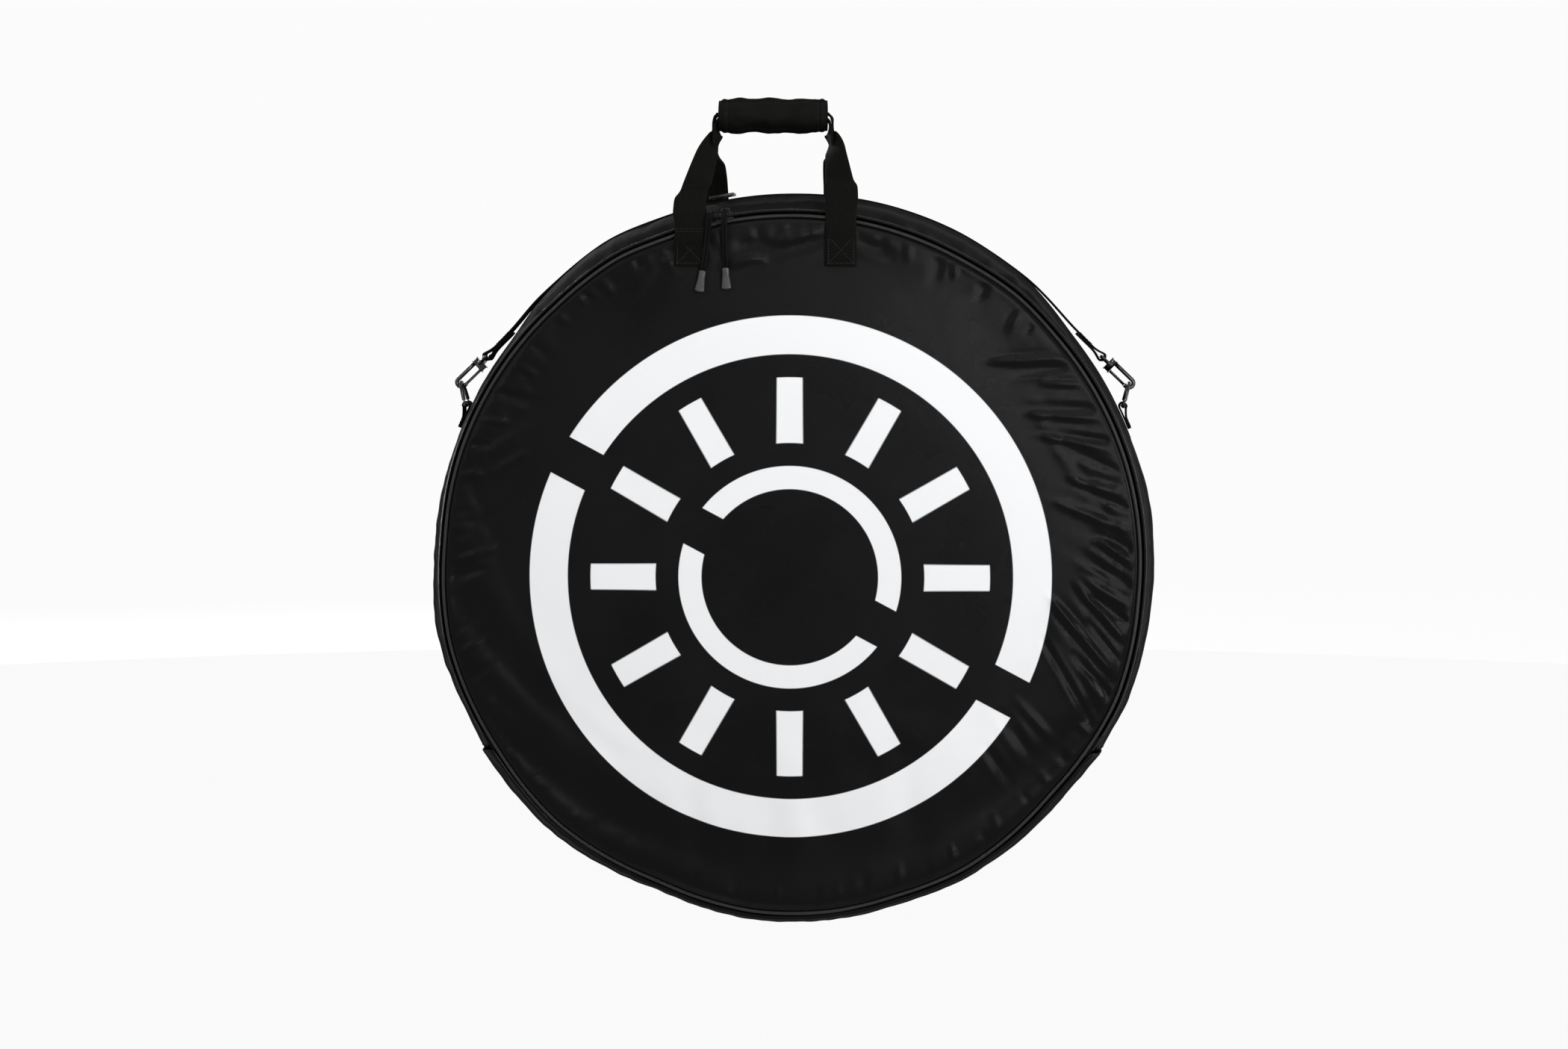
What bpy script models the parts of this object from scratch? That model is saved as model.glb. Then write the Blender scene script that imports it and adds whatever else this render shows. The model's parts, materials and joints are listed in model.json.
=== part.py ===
"""A round padded bag for two bicycle wheels, standing on its rim.

Metres, +Z up. The origin is the middle of the flat on which the bag stands.
The front panel faces -Y and the carry handles are on top.
"""
import math

import bmesh
import bpy
from mathutils import Vector

MM = 0.001
# Clearances
FIT_GAP = 0.3 * MM
FOLD_GAP = 1.0 * MM
RUN_GAP = 0.5 * MM

# Bag body
OUTER_RADIUS = 380.0 * MM
STAND_FLAT_DEPTH = 2.5 * MM
SEAM_DEPTH = 140.0 * MM
PANEL_INSET = 18.0 * MM
PANEL_EDGE_ROLL = 12.0 * MM
PANEL_CROWN = 9.0 * MM
SHELL_THICKNESS = 1.5 * MM
FOAM_THICKNESS = 8.0 * MM
LINING_THICKNESS = 1.0 * MM
RIM_LIP = 8.0 * MM
GUSSET_SHELL_THICKNESS = 2.0 * MM
GUSSET_FOAM_THICKNESS = 5.0 * MM
FOLD_RISE = 18.0 * MM
PIPING_DIAMETER = 4.2 * MM
BINDING_WIDTH = 4.5 * MM

# Zip
ZIP_HALF_ANGLE = 122.0
TAPE_WIDTH = 10.5 * MM
TAPE_THICKNESS = 1.0 * MM
TAPE_INSET = 11.0 * MM
TEETH_WIDTH = 2.8 * MM
TEETH_HEIGHT = 2.2 * MM
TEETH_SPLIT = 1.2 * MM
HEM_LAP = 4.5 * MM
SLIDER_LENGTH = 14.0 * MM
SLIDER_WIDTH = 11.0 * MM
SLIDER_PLATE = 1.2 * MM
SLIDER_WEB = 0.6 * MM
SLIDER_MEET_ANGLE = 11.6
SLIDER_GAP = 1.0 * MM
BAIL_WIDTH = 2.4 * MM
BAIL_HEIGHT = 4.6 * MM
BAIL_WALL = 1.2 * MM
PULL_CORD_DIAMETER = 3.0 * MM
PULL_DROP = 58.0 * MM
TIP_LENGTH = 23.0 * MM
TIP_WIDTH = 10.0 * MM
TIP_NECK_WIDTH = 7.0 * MM
TIP_THICKNESS = 5.0 * MM

# Carry handles and grip wrap
WEB_WIDTH = 32.0 * MM
WEB_THICKNESS = 2.4 * MM
WEB_TWIST_WIDTH = 27.0 * MM
WEB_CORNER_WIDTH = 24.3 * MM
WEB_GRIP_WIDTH = 30.2 * MM
WEB_STANDOFF = 0.4 * MM
PATCH_REACH = 67.5 * MM
GRIP_RISE = 91.0 * MM
GRIP_CENTRE_X = -21.5 * MM
GRIP_LENGTH = 114.0 * MM
GRIP_OUTER_DEPTH = 38.0 * MM
GRIP_OUTER_HEIGHT = 35.0 * MM
GRIP_WALL = 3.0 * MM
GRIP_OPEN_TOP_ANGLE = 62.0
GRIP_OPEN_BASE_ANGLE = -72.0
WEB_LAYER_PITCH = 3.5 * MM
HANDLE_END_GAP = 3.6 * MM
HANDLE_NEST_GAP = 4.6 * MM
FRONT_LEG_LEFT_X = -103.5 * MM
FRONT_LEG_RIGHT_X = 53.0 * MM
BACK_LEG_LEFT_X = -90.0 * MM
BACK_LEG_RIGHT_X = 46.0 * MM

# Shoulder strap, its hooks and rings
STRAP_WIDTH = 30.0 * MM
STRAP_THICKNESS = 2.2 * MM
STRAP_LIFT = 1.0 * MM
RING_ANGLE = 25.5
RING_LEAN = 40.0
RING_WIRE = 4.0 * MM
RING_INNER_WIDTH = 27.0 * MM
RING_DEPTH = 21.0 * MM
TAB_WIDTH = 24.0 * MM
TAB_THICKNESS = 1.6 * MM
TAB_LENGTH = 24.0 * MM
HOOK_WIRE = 4.5 * MM
HOOK_LENGTH = 24.0 * MM
EYE_WIRE = 3.6 * MM
EYE_LENGTH = 12.0 * MM
ADJUSTER_ANGLE = 101.0
ADJUSTER_LENGTH = 26.0 * MM
ADJUSTER_WIDTH = 38.0 * MM
ADJUSTER_THICKNESS = 3.0 * MM
ADJUSTER_SLOT = 6.0 * MM

# Inside
DIVIDER_SLACK = 17.7 * MM
DIVIDER_THICKNESS = 6.0 * MM
HUB_DISC_RADIUS = 60.0 * MM
HUB_DISC_THICKNESS = 4.0 * MM

ROUND_STEPS = 48
CORD_STEPS = 48

CENTRE_HEIGHT = OUTER_RADIUS - STAND_FLAT_DEPTH
TOP_HEIGHT = CENTRE_HEIGHT + OUTER_RADIUS
HALF_DEPTH = SEAM_DEPTH / 2
PANEL_RADIUS = OUTER_RADIUS - PANEL_INSET
TAPE_RADIUS = OUTER_RADIUS - TAPE_INSET
ZIP_END_HEIGHT = CENTRE_HEIGHT + TAPE_RADIUS * math.cos(math.radians(ZIP_HALF_ANGLE))
FOLD_HEIGHT = ZIP_END_HEIGHT + FOLD_RISE
GRIP_HEIGHT = TOP_HEIGHT + GRIP_RISE
PATCH_BOTTOM = TOP_HEIGHT - PATCH_REACH
TAPE_OUTER = TAPE_RADIUS + TAPE_THICKNESS
TEETH_BASE = TAPE_OUTER + FIT_GAP
TEETH_TOP = TEETH_BASE + TEETH_HEIGHT
FRONT_TAPE_EDGE = -HALF_DEPTH + FOLD_GAP
ZIP_LINE = FRONT_TAPE_EDGE + TAPE_WIDTH + TEETH_SPLIT / 2
REAR_TAPE_EDGE = ZIP_LINE + TEETH_SPLIT / 2 + TAPE_WIDTH
GUSSET_FRONT = REAR_TAPE_EDGE - HEM_LAP
GUSSET_BACK = HALF_DEPTH - FOLD_GAP
GUSSET_FOAM_DEPTH = GUSSET_SHELL_THICKNESS + STAND_FLAT_DEPTH + FOLD_GAP + RUN_GAP
GUSSET_LINING_DEPTH = GUSSET_FOAM_DEPTH + GUSSET_FOAM_THICKNESS + FIT_GAP
LINING_INNER_RADIUS = OUTER_RADIUS - GUSSET_LINING_DEPTH - LINING_THICKNESS
DIVIDER_RADIUS = LINING_INNER_RADIUS - DIVIDER_SLACK
HEM_RADIUS = TAPE_RADIUS - FIT_GAP
TAPE_FACET_SAG = TAPE_RADIUS * (1 - math.cos(math.pi / ROUND_STEPS))
PANEL_FACE = HALF_DEPTH + PANEL_EDGE_ROLL / 2
HINGE_Y = -(PANEL_FACE + PANEL_CROWN)
TOP = 90.0


def srgb(*values):
    """Turns display colour values into the linear ones that a material takes."""
    return tuple(((v + 0.055) / 1.055) ** 2.4 if v > 0.04045 else v / 12.92 for v in values) + (1.0,)


NYLON = ("nylon", srgb(0.085, 0.083, 0.088), 0.48, 0.0)
WEBBING = ("webbing", srgb(0.075, 0.078, 0.066), 0.85, 0.0)
PADDING = ("padding_foam", srgb(0.30, 0.31, 0.33), 0.95, 0.0)
LINING = ("lining", srgb(0.20, 0.20, 0.21), 0.80, 0.0)
PIPING = ("piping", srgb(0.11, 0.11, 0.11), 0.35, 0.0)
ZIP_TAPE = ("zip_tape", srgb(0.080, 0.082, 0.070), 0.85, 0.0)
TEETH = ("zip_teeth", srgb(0.10, 0.10, 0.10), 0.40, 0.0)
METAL = ("dark_metal", srgb(0.13, 0.13, 0.14), 0.35, 0.9)
TIP = ("grey_tip", srgb(0.55, 0.55, 0.56), 0.45, 0.0)
PLASTIC = ("black_plastic", srgb(0.07, 0.07, 0.07), 0.45, 0.0)
CORD = ("pull_cord", srgb(0.07, 0.07, 0.07), 0.80, 0.0)


def clear_scene():
    """Removes what the file holds."""
    for item in list(bpy.data.objects):
        bpy.data.objects.remove(item, do_unlink=True)


def finish_object(obj, finish):
    """Gives the object a material of its own and shades its round faces smooth."""
    name, colour, roughness, metallic = finish
    material = bpy.data.materials.new(name + "_" + obj.name)
    material.use_nodes = True
    shader = material.node_tree.nodes["Principled BSDF"]
    shader.inputs["Base Color"].default_value = colour
    shader.inputs["Roughness"].default_value = roughness
    shader.inputs["Metallic"].default_value = metallic
    obj.data.materials.clear()
    obj.data.materials.append(material)
    return obj


def make_object(name, bm, finish, origin=None):
    """Makes a named object of a closed mesh, with its origin at the given point."""
    bmesh.ops.recalc_face_normals(bm, faces=bm.faces)
    if bm.calc_volume(signed=True) < 0:
        bmesh.ops.reverse_faces(bm, faces=bm.faces)
    origin = Vector(origin) if origin else Vector()
    bmesh.ops.translate(bm, verts=bm.verts, vec=-origin)
    mesh = bpy.data.meshes.new(name)
    bm.to_mesh(mesh)
    bm.free()
    mesh.shade_smooth()
    mesh.set_sharp_from_angle(angle=math.radians(40))
    obj = bpy.data.objects.new(name, mesh)
    obj.location = origin
    bpy.context.scene.collection.objects.link(obj)
    return finish_object(obj, finish)


def rim_point(radius, angle, y=0.0):
    """The point at a radius and an angle from +X, seen from the front."""
    turn = math.radians(angle)
    return Vector((radius * math.cos(turn), y, CENTRE_HEIGHT + radius * math.sin(turn)))


def turned(profile, steps=ROUND_STEPS):
    """Turns a closed (radius, y) outline about the bag's middle axis."""
    bm = bmesh.new()
    verts = [bm.verts.new((r, y, CENTRE_HEIGHT)) for r, y in profile]
    on_axis = profile[0][0] == 0 and profile[-1][0] == 0
    edges = [bm.edges.new(pair) for pair in zip(verts, verts[1:])]
    if not on_axis:
        edges.append(bm.edges.new((verts[-1], verts[0])))
    bmesh.ops.spin(bm, geom=verts + edges, cent=(0, 0, CENTRE_HEIGHT), axis=(0, 1, 0),
                   angle=math.tau, steps=steps, use_merge=True)
    bmesh.ops.remove_doubles(bm, verts=bm.verts, dist=FIT_GAP / 100)
    return bm


def cut(bm, point, normal):
    """Keeps what lies behind a plane and closes the cut."""
    everything = bm.verts[:] + bm.edges[:] + bm.faces[:]
    bmesh.ops.bisect_plane(bm, geom=everything, plane_co=point, plane_no=normal, clear_outer=True)
    rim = [edge for edge in bm.edges if edge.is_boundary]
    filled = bmesh.ops.holes_fill(bm, edges=rim, sides=0)
    bmesh.ops.triangulate(bm, faces=filled["faces"])
    return bm


def above(bm, height):
    """Keeps what lies over a height."""
    return cut(bm, (0, 0, height), (0, 0, -1))


def below(bm, height):
    """Keeps what lies under a height."""
    return cut(bm, (0, 0, height), (0, 0, 1))


def crown_at(radius):
    """How far the padded panel stands out at a radius."""
    share = min(radius / PANEL_RADIUS, 1.0)
    return PANEL_CROWN * (1 - share ** 4)


def face_y(radius):
    """Distance of a panel's outer face from the middle of the bag."""
    return PANEL_FACE + crown_at(radius)


DISC_RING_SHARES = (0.0, 0.5, 0.82)
MITRE_SHARE = math.tan(math.radians(22.5))


def disc_layer(side, start, thickness, outer, lip):
    """A padded panel's layer, from a depth under its face, with a lip turned inwards at the rim."""
    radii = [outer * share for share in DISC_RING_SHARES]
    front = [(r, face_y(r) - start) for r in radii]
    roll = PANEL_EDGE_ROLL / 3
    face = face_y(outer) - start
    front += [(outer - roll, face), (outer, face - roll)]
    back = [(r, y - thickness) for r, y in reversed(front[:-2])]
    if lip:
        inner, mitre = outer - thickness, thickness * MITRE_SHARE
        rim = [(outer, face - roll - lip), (inner, face - roll - lip), (inner, face - roll - mitre),
               (outer - roll - mitre, face - thickness)]
    else:
        rim = [(outer, face - max(thickness, roll))]
        if thickness < roll:
            rim = [(outer, face - roll - thickness), (outer - roll, face - thickness)]
    return turned([(r, side * y) for r, y in front + rim + back])


def panel_layers(side):
    """The outline values of the shell, foam and lining of a panel."""
    foam_outer = PANEL_RADIUS - SHELL_THICKNESS - FIT_GAP
    foam_start = SHELL_THICKNESS + FIT_GAP
    lining_start = foam_start + FOAM_THICKNESS + FIT_GAP
    return (
        ("shell", NYLON, (side, 0.0, SHELL_THICKNESS, PANEL_RADIUS, RIM_LIP)),
        ("foam", PADDING, (side, foam_start, FOAM_THICKNESS, foam_outer, 0.0)),
        ("lining", LINING, (side, lining_start, LINING_THICKNESS, foam_outer, 0.0)),
    )


def hinge_point():
    """A point on the line about which the front opens."""
    return (0.0, HINGE_Y, FOLD_HEIGHT)


def build_panels():
    """Front panel in two parts with the fold of the flap between them, and the back panel."""
    for layer, finish, values in panel_layers(-1):
        top = above(disc_layer(*values), FOLD_HEIGHT + FOLD_GAP / 2)
        make_object("front_flap_" + layer, top, finish, hinge_point())
        low = below(disc_layer(*values), FOLD_HEIGHT - FOLD_GAP / 2)
        make_object("front_lower_" + layer, low, finish)
    for layer, finish, values in panel_layers(1):
        make_object("back_panel_" + layer, disc_layer(*values), finish)


def gusset_radius(y, front=REAR_TAPE_EDGE):
    """Outer radius of the gusset at a place across its width, full from its front edge to the back."""
    middle, half = (front + GUSSET_BACK) / 2, (GUSSET_BACK - front) / 2
    share = min(abs(y - middle) / half, 1.0)
    return HEM_RADIUS + (OUTER_RADIUS - HEM_RADIUS) * (1 - share ** 3) ** (1 / 3)


GUSSET_WIDTH_SHARES = (0.0, 0.04, 0.15, 0.5, 0.85, 0.96, 1.0)
GUSSET_INNER_SHARES = (0.0, 0.12, 0.5, 0.88, 1.0)


def gusset_profile(hem, front, back, depth, thickness, shares=GUSSET_WIDTH_SHARES):
    """Outline of a layer of the gusset, a depth under its outer face."""
    width = back - front
    places = [front + width * share for share in shares]
    outer = [(gusset_radius(y, front) - depth, y) for y in places]
    if hem < front:
        outer.insert(0, (outer[0][0], hem))
    return outer + [(r - thickness, y) for r, y in reversed(outer)]


def build_gusset():
    """Fabric bands, foam and lining round the rim, cut flat where the bag stands."""
    seam = ZIP_END_HEIGHT
    upper = turned(gusset_profile(GUSSET_FRONT, REAR_TAPE_EDGE, GUSSET_BACK, 0.0, GUSSET_SHELL_THICKNESS))
    make_object("gusset_upper_band", above(upper, seam + FIT_GAP / 2), NYLON)
    lower = turned(gusset_profile(FRONT_TAPE_EDGE, FRONT_TAPE_EDGE, GUSSET_BACK, 0.0,
                                  GUSSET_SHELL_THICKNESS + STAND_FLAT_DEPTH))
    lower = cut(below(lower, seam - FIT_GAP / 2), (0, 0, 0), (0, 0, -1))
    make_object("gusset_lower_band", lower, NYLON)
    foam_back = HALF_DEPTH - FOLD_GAP - RIM_LIP
    inner = (REAR_TAPE_EDGE, REAR_TAPE_EDGE, foam_back)
    foam = turned(gusset_profile(*inner, GUSSET_FOAM_DEPTH, GUSSET_FOAM_THICKNESS, GUSSET_INNER_SHARES))
    make_object("gusset_foam", foam, PADDING)
    lining = turned(gusset_profile(*inner, GUSSET_LINING_DEPTH, LINING_THICKNESS, GUSSET_INNER_SHARES))
    make_object("gusset_lining", lining, LINING)


def ring_cord(radius, y, diameter, sides=6):
    """A cord's ring round the bag."""
    outline = []
    for index in range(sides):
        turn = math.tau * (index + 0.5) / sides
        outline.append((radius + diameter / 2 * math.cos(turn), y + diameter / 2 * math.sin(turn)))
    return turned(outline)


def band(inner, outer, front, back):
    """A flat band round the bag, between two radii and two depths."""
    return turned([(inner, front), (inner, back), (outer, back), (outer, front)])


def build_edges():
    """Piping and seam bindings at the front and back seams."""
    piping_radius = PANEL_RADIUS + FIT_GAP + PIPING_DIAMETER / 2
    piping_y = -HALF_DEPTH - PIPING_DIAMETER / 2 + FIT_GAP
    inner = PANEL_RADIUS + FIT_GAP
    outer = TAPE_RADIUS - FIT_GAP
    binding_back = FRONT_TAPE_EDGE + BINDING_WIDTH
    hem_inner = HEM_RADIUS - GUSSET_SHELL_THICKNESS - STAND_FLAT_DEPTH - FIT_GAP
    for part, keep, edge in (("flap", above, FOLD_GAP / 2), ("lower", below, -FOLD_GAP / 2)):
        origin = hinge_point() if part == "flap" else None
        cord = keep(ring_cord(piping_radius, piping_y, PIPING_DIAMETER), FOLD_HEIGHT + edge)
        make_object("piping_front_" + part, cord, PIPING, origin)
        strip_outer = outer if part == "flap" else hem_inner
        strip = keep(band(inner, strip_outer, FRONT_TAPE_EDGE, binding_back), FOLD_HEIGHT + edge)
        make_object("seam_binding_" + part, strip, ZIP_TAPE, origin)
    make_object("piping_back", ring_cord(piping_radius, -piping_y, PIPING_DIAMETER), PIPING)
    strip = band(inner, hem_inner, GUSSET_BACK - BINDING_WIDTH, GUSSET_BACK)
    make_object("seam_binding_back", strip, ZIP_TAPE)


def build_zip():
    """Two tapes and two rows of teeth, and the closed ends under the fold."""
    end = ZIP_END_HEIGHT + FIT_GAP
    split = TEETH_SPLIT / 2
    front_row = ZIP_LINE - split - TEETH_WIDTH
    rear_row = ZIP_LINE + split + TEETH_WIDTH
    fold = FOLD_HEIGHT + FOLD_GAP / 2
    front_tape = (TAPE_RADIUS, TAPE_OUTER, FRONT_TAPE_EDGE, ZIP_LINE - split)
    front_teeth = (TEETH_BASE, TEETH_TOP, front_row, ZIP_LINE - split)
    rear_tape = (TAPE_RADIUS, TAPE_OUTER, ZIP_LINE + split, REAR_TAPE_EDGE)
    rear_teeth = (TEETH_BASE, TEETH_TOP, ZIP_LINE + split, rear_row)
    make_object("zip_tape_flap", above(band(*front_tape), fold), ZIP_TAPE, hinge_point())
    make_object("zip_teeth_flap", above(band(*front_teeth), fold), TEETH, hinge_point())
    make_object("zip_tape_body", above(band(*rear_tape), end), ZIP_TAPE)
    make_object("zip_teeth_body", above(band(*rear_teeth), end), TEETH)
    foot = HEM_RADIUS - GUSSET_SHELL_THICKNESS - STAND_FLAT_DEPTH
    foot_back = FRONT_TAPE_EDGE + BINDING_WIDTH
    outline = [(foot, FRONT_TAPE_EDGE), (foot, foot_back), (TAPE_RADIUS, foot_back),
               (TAPE_RADIUS, ZIP_LINE - split), (TAPE_OUTER, ZIP_LINE - split),
               (TAPE_OUTER, FRONT_TAPE_EDGE)]
    for side, sign in (("left", -1), ("right", 1)):
        stub = below(above(turned(outline), end), fold - FOLD_GAP)
        stub = cut(stub, (0, 0, 0), (-sign, 0, 0))
        make_object("zip_end_" + side, stub, ZIP_TAPE)


def rim_axes(angle):
    """Radial, tangent and depth directions at an angle of the rim."""
    turn = math.radians(angle)
    radial = Vector((math.cos(turn), 0, math.sin(turn)))
    tangent = Vector((-math.sin(turn), 0, math.cos(turn)))
    return radial, tangent, Vector((0, 1, 0))


def swept(points, section, closed=False):
    """Lofts section outlines along points; section gives each point's ring of corners."""
    bm = bmesh.new()
    rings = [[bm.verts.new(co) for co in section(index)] for index in range(len(points))]
    pairs = list(zip(rings, rings[1:]))
    if closed:
        pairs.append((rings[-1], rings[0]))
    for first, second in pairs:
        for index in range(len(first)):
            nxt = (index + 1) % len(first)
            bm.faces.new((first[index], first[nxt], second[nxt], second[index]))
    if not closed:
        bm.faces.new(rings[0])
        bm.faces.new(rings[-1])
    return bm


def tangents(points, closed=False):
    """Directions along a row of points."""
    last = len(points) - 1
    result = []
    for index in range(len(points)):
        before = points[index - 1] if index or closed else points[0]
        after = points[(index + 1) % len(points)] if index < last or closed else points[last]
        result.append((after - before).normalized())
    return result


def smooth_route(knots, count):
    """Points on a smooth curve through the knots, evenly taken between them."""
    result = []
    spans = len(knots) - 1
    for step in range(count + 1):
        place = step / count * spans
        index = min(int(place), spans - 1)
        t = place - index
        p0 = knots[max(index - 1, 0)]
        p1, p2 = knots[index], knots[index + 1]
        p3 = knots[min(index + 2, spans)]
        parts = (p1 * 2, (p2 - p0) * t, (p0 * 2 - p1 * 5 + p2 * 4 - p3) * t ** 2,
                 (p1 * 3 - p0 - p2 * 3 + p3) * t ** 3)
        result.append(sum(parts, Vector(p1 * 0)) / 2)
    return result


def flat_strap(route, thickness, count):
    """A webbing strap; each knot holds a place, a width direction and a width."""
    knots = [Vector(tuple(place) + tuple(Vector(across) * width)) for place, across, width in route]
    samples = smooth_route(knots, count)
    points = [Vector(s[:3]) for s in samples]
    along = tangents(points)

    def section(index):
        across = Vector(samples[index][3:])
        width = across.length
        across = (across - along[index] * across.dot(along[index])).normalized()
        normal = along[index].cross(across).normalized()
        half, rise = across * width / 2, normal * thickness / 2
        here = points[index]
        return [here - half - rise, here + half - rise, here + half + rise, here - half + rise]

    return swept(points, section)


def wire(points, diameter, sides=8, closed=False, upright=(0, 1, 0)):
    """A round wire along points."""
    along = tangents(points, closed)

    def section(index):
        side = along[index].cross(Vector(upright)).normalized()
        other = along[index].cross(side).normalized()
        ring = []
        for step in range(sides):
            turn = math.tau * (step + 0.5) / sides
            ring.append(points[index] + (side * math.cos(turn) + other * math.sin(turn)) * diameter / 2)
        return ring

    return swept(points, section, closed)


def hide_tool(obj):
    """Keeps a cutting or joining body out of the model."""
    obj.hide_render = True
    obj.display_type = "WIRE"
    return obj


def combine(obj, tool, operation):
    """Joins or cuts one body with another, with the exact solver."""
    modifier = obj.modifiers.new(operation.lower(), "BOOLEAN")
    modifier.operation = operation
    modifier.solver = "EXACT"
    modifier.object = hide_tool(tool)
    return obj


def slider_angle(side):
    """Rest angle of a slider's middle, from +X: the two stand end to end left of the top."""
    offset = math.degrees((SLIDER_LENGTH + SLIDER_GAP) / 2 / TEETH_TOP)
    return TOP + SLIDER_MEET_ANGLE + (offset if side == "left" else -offset)


def slider_outline(low, high):
    """A slider's two plates with the web between them, as (radius, depth) corners."""
    web, wide = SLIDER_WEB / 2, SLIDER_WIDTH / 2
    inner, outer = low + SLIDER_PLATE, high - SLIDER_PLATE
    return [(low, -wide), (low, wide), (inner, wide), (inner, web), (outer, web), (outer, wide),
            (high, wide), (high, -wide), (outer, -wide), (outer, -web), (inner, -web), (inner, -wide)]


def bail_outline(foot, top):
    """A bail's low arch over a slider, as (radius, place along the zip) corners."""
    half, chamfer = SLIDER_LENGTH / 3, BAIL_WALL / 2
    under = top - BAIL_WALL
    return [(foot, -half), (foot, BAIL_WALL - half), (under, BAIL_WALL - half), (under, half - BAIL_WALL),
            (foot, half - BAIL_WALL), (foot, half), (top - chamfer, half), (top, half - chamfer),
            (top, chamfer - half), (top - chamfer, -half)]


def build_slider(side):
    """A slider's two plates and web, with its bail on top; gives the bail's eye radius."""
    radial, tangent, depth = rim_axes(slider_angle(side))
    low = TAPE_RADIUS - TAPE_FACET_SAG - RUN_GAP - SLIDER_PLATE
    high = TEETH_TOP + RUN_GAP + SLIDER_PLATE
    centre = Vector((0, ZIP_LINE, CENTRE_HEIGHT))
    origin = (0, 0, CENTRE_HEIGHT)
    ends = [-SLIDER_LENGTH / 2, SLIDER_LENGTH / 2]
    plates = slider_outline(low, high)
    body = swept(ends, lambda i: [centre + radial * r + tangent * ends[i] + depth * y for r, y in plates])
    sides = [-BAIL_WIDTH / 2, BAIL_WIDTH / 2]
    arch = bail_outline(high - SLIDER_PLATE / 2, high + BAIL_HEIGHT)
    bail = swept(sides, lambda i: [centre + radial * r + tangent * t + depth * sides[i] for r, t in arch])
    slider = make_object("zip_slider_" + side, body, METAL, origin)
    combine(slider, make_object("bail_tool_" + side, bail, METAL, origin), "UNION")
    return high + (BAIL_HEIGHT - BAIL_WALL) / 2


# Share of the sideways shift and of the drop at places down a cord pull
PULL_SHAPE_SHARES = ((0.15, 0.16), (0.55, 0.65), (1.0, 1.0))
PULL_TURN_SHARE = 2.5
PULL_STEPS = 16
TIP_SHOULDER_SHARE = 0.25
TIP_TAPER_SHARE = 0.8


def pull_route(side, eye_radius):
    """Points along a cord pull, from the bail over the front edge and down the panel."""
    shift = -SLIDER_LENGTH / 2 if side == "left" else SLIDER_LENGTH / 8
    depth = ZIP_LINE - BAIL_WIDTH / 2 - PULL_CORD_DIAMETER / 2 - FIT_GAP
    eye = rim_point(eye_radius, slider_angle(side), depth)
    hang = -(face_y(eye_radius - PULL_DROP - TIP_LENGTH) + TIP_THICKNESS / 2 + WEB_STANDOFF)
    turn = PULL_TURN_SHARE * PULL_CORD_DIAMETER
    knots = [eye, Vector((eye.x, (eye.y + hang + turn) / 2, eye.z + turn / 6)),
             Vector((eye.x, hang + turn * 2 / 5, eye.z - turn / 5))]
    for sideways, drop in PULL_SHAPE_SHARES:
        knots.append(Vector((eye.x + shift * sideways, hang, eye.z - PULL_DROP * drop)))
    return smooth_route(knots, PULL_STEPS)


def build_pull(side, eye_radius):
    """The cord that hangs from a slider's bail, with its moulded tip."""
    points = pull_route(side, eye_radius)
    origin = rim_point(eye_radius, slider_angle(side), ZIP_LINE)
    cord = wire(points, PULL_CORD_DIAMETER, upright=(1, 0, 0))
    make_object("pull_cord_" + side, cord, CORD, origin)
    down = (points[-1] - points[-2]).normalized()
    across = Vector((1, 0, 0))
    across = (across - down * across.dot(down)).normalized()
    out = down.cross(across)
    start = points[-1] + down * FIT_GAP
    shape = ((0.0, TIP_NECK_WIDTH, TIP_THICKNESS),
             (TIP_LENGTH * TIP_SHOULDER_SHARE, TIP_NECK_WIDTH, TIP_THICKNESS),
             (TIP_LENGTH, TIP_WIDTH, TIP_THICKNESS * TIP_TAPER_SHARE))

    def section(index):
        along, width, thick = shape[index]
        here = start + down * along
        half, rise = across * width / 2, out * thick / 2
        return [here - half - rise, here + half - rise, here + half + rise, here - half + rise]

    make_object("pull_tip_" + side, swept(shape, section), TIP, origin)


# How far a leg has leaned to the grip, stands out and has risen, over the panel and in its twist
RISE_SHARES = (0.15, 0.78, 0.30)
TWIST_SHARES = (0.60, 0.40, 0.60)
CORNER_DROP_SHARE = 0.95
HANDLE_STEPS = 51


def handle_leg(side, sign, foot_x, layer, end_gap):
    """Knots of one leg of a handle, from its foot on the panel up to the grip."""
    foot_y = face_y(math.hypot(foot_x, PATCH_BOTTOM - CENTRE_HEIGHT)) + WEB_THICKNESS / 2 + WEB_STANDOFF
    edge_z = CENTRE_HEIGHT + math.sqrt(PANEL_RADIUS ** 2 - foot_x ** 2)
    edge_y = face_y(PANEL_RADIUS) + WEB_THICKNESS + WEB_STANDOFF
    corner_x = GRIP_CENTRE_X + sign * (GRIP_LENGTH / 2 + end_gap)
    sideways = Vector((1, 0, 0))
    turned_in = Vector((0, sign * side, 0))
    corner_z = GRIP_HEIGHT + layer - WEB_TWIST_WIDTH * CORNER_DROP_SHARE

    def between(shares, across, width):
        lean, depth, height = shares
        place = (foot_x + (corner_x - foot_x) * lean, side * edge_y * depth,
                 edge_z + (GRIP_HEIGHT - edge_z) * height)
        return place, across, width

    return [
        ((foot_x, side * foot_y, PATCH_BOTTOM), sideways, WEB_WIDTH),
        ((foot_x, side * (foot_y + edge_y) / 2, (PATCH_BOTTOM + edge_z) / 2), sideways, WEB_WIDTH),
        ((foot_x, side * edge_y, edge_z), sideways, WEB_WIDTH),
        between(RISE_SHARES, sideways, WEB_WIDTH),
        between(TWIST_SHARES, (sideways + turned_in).normalized(), WEB_TWIST_WIDTH),
        ((corner_x, side * WEB_THICKNESS, corner_z), turned_in, WEB_CORNER_WIDTH),
    ]


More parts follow.
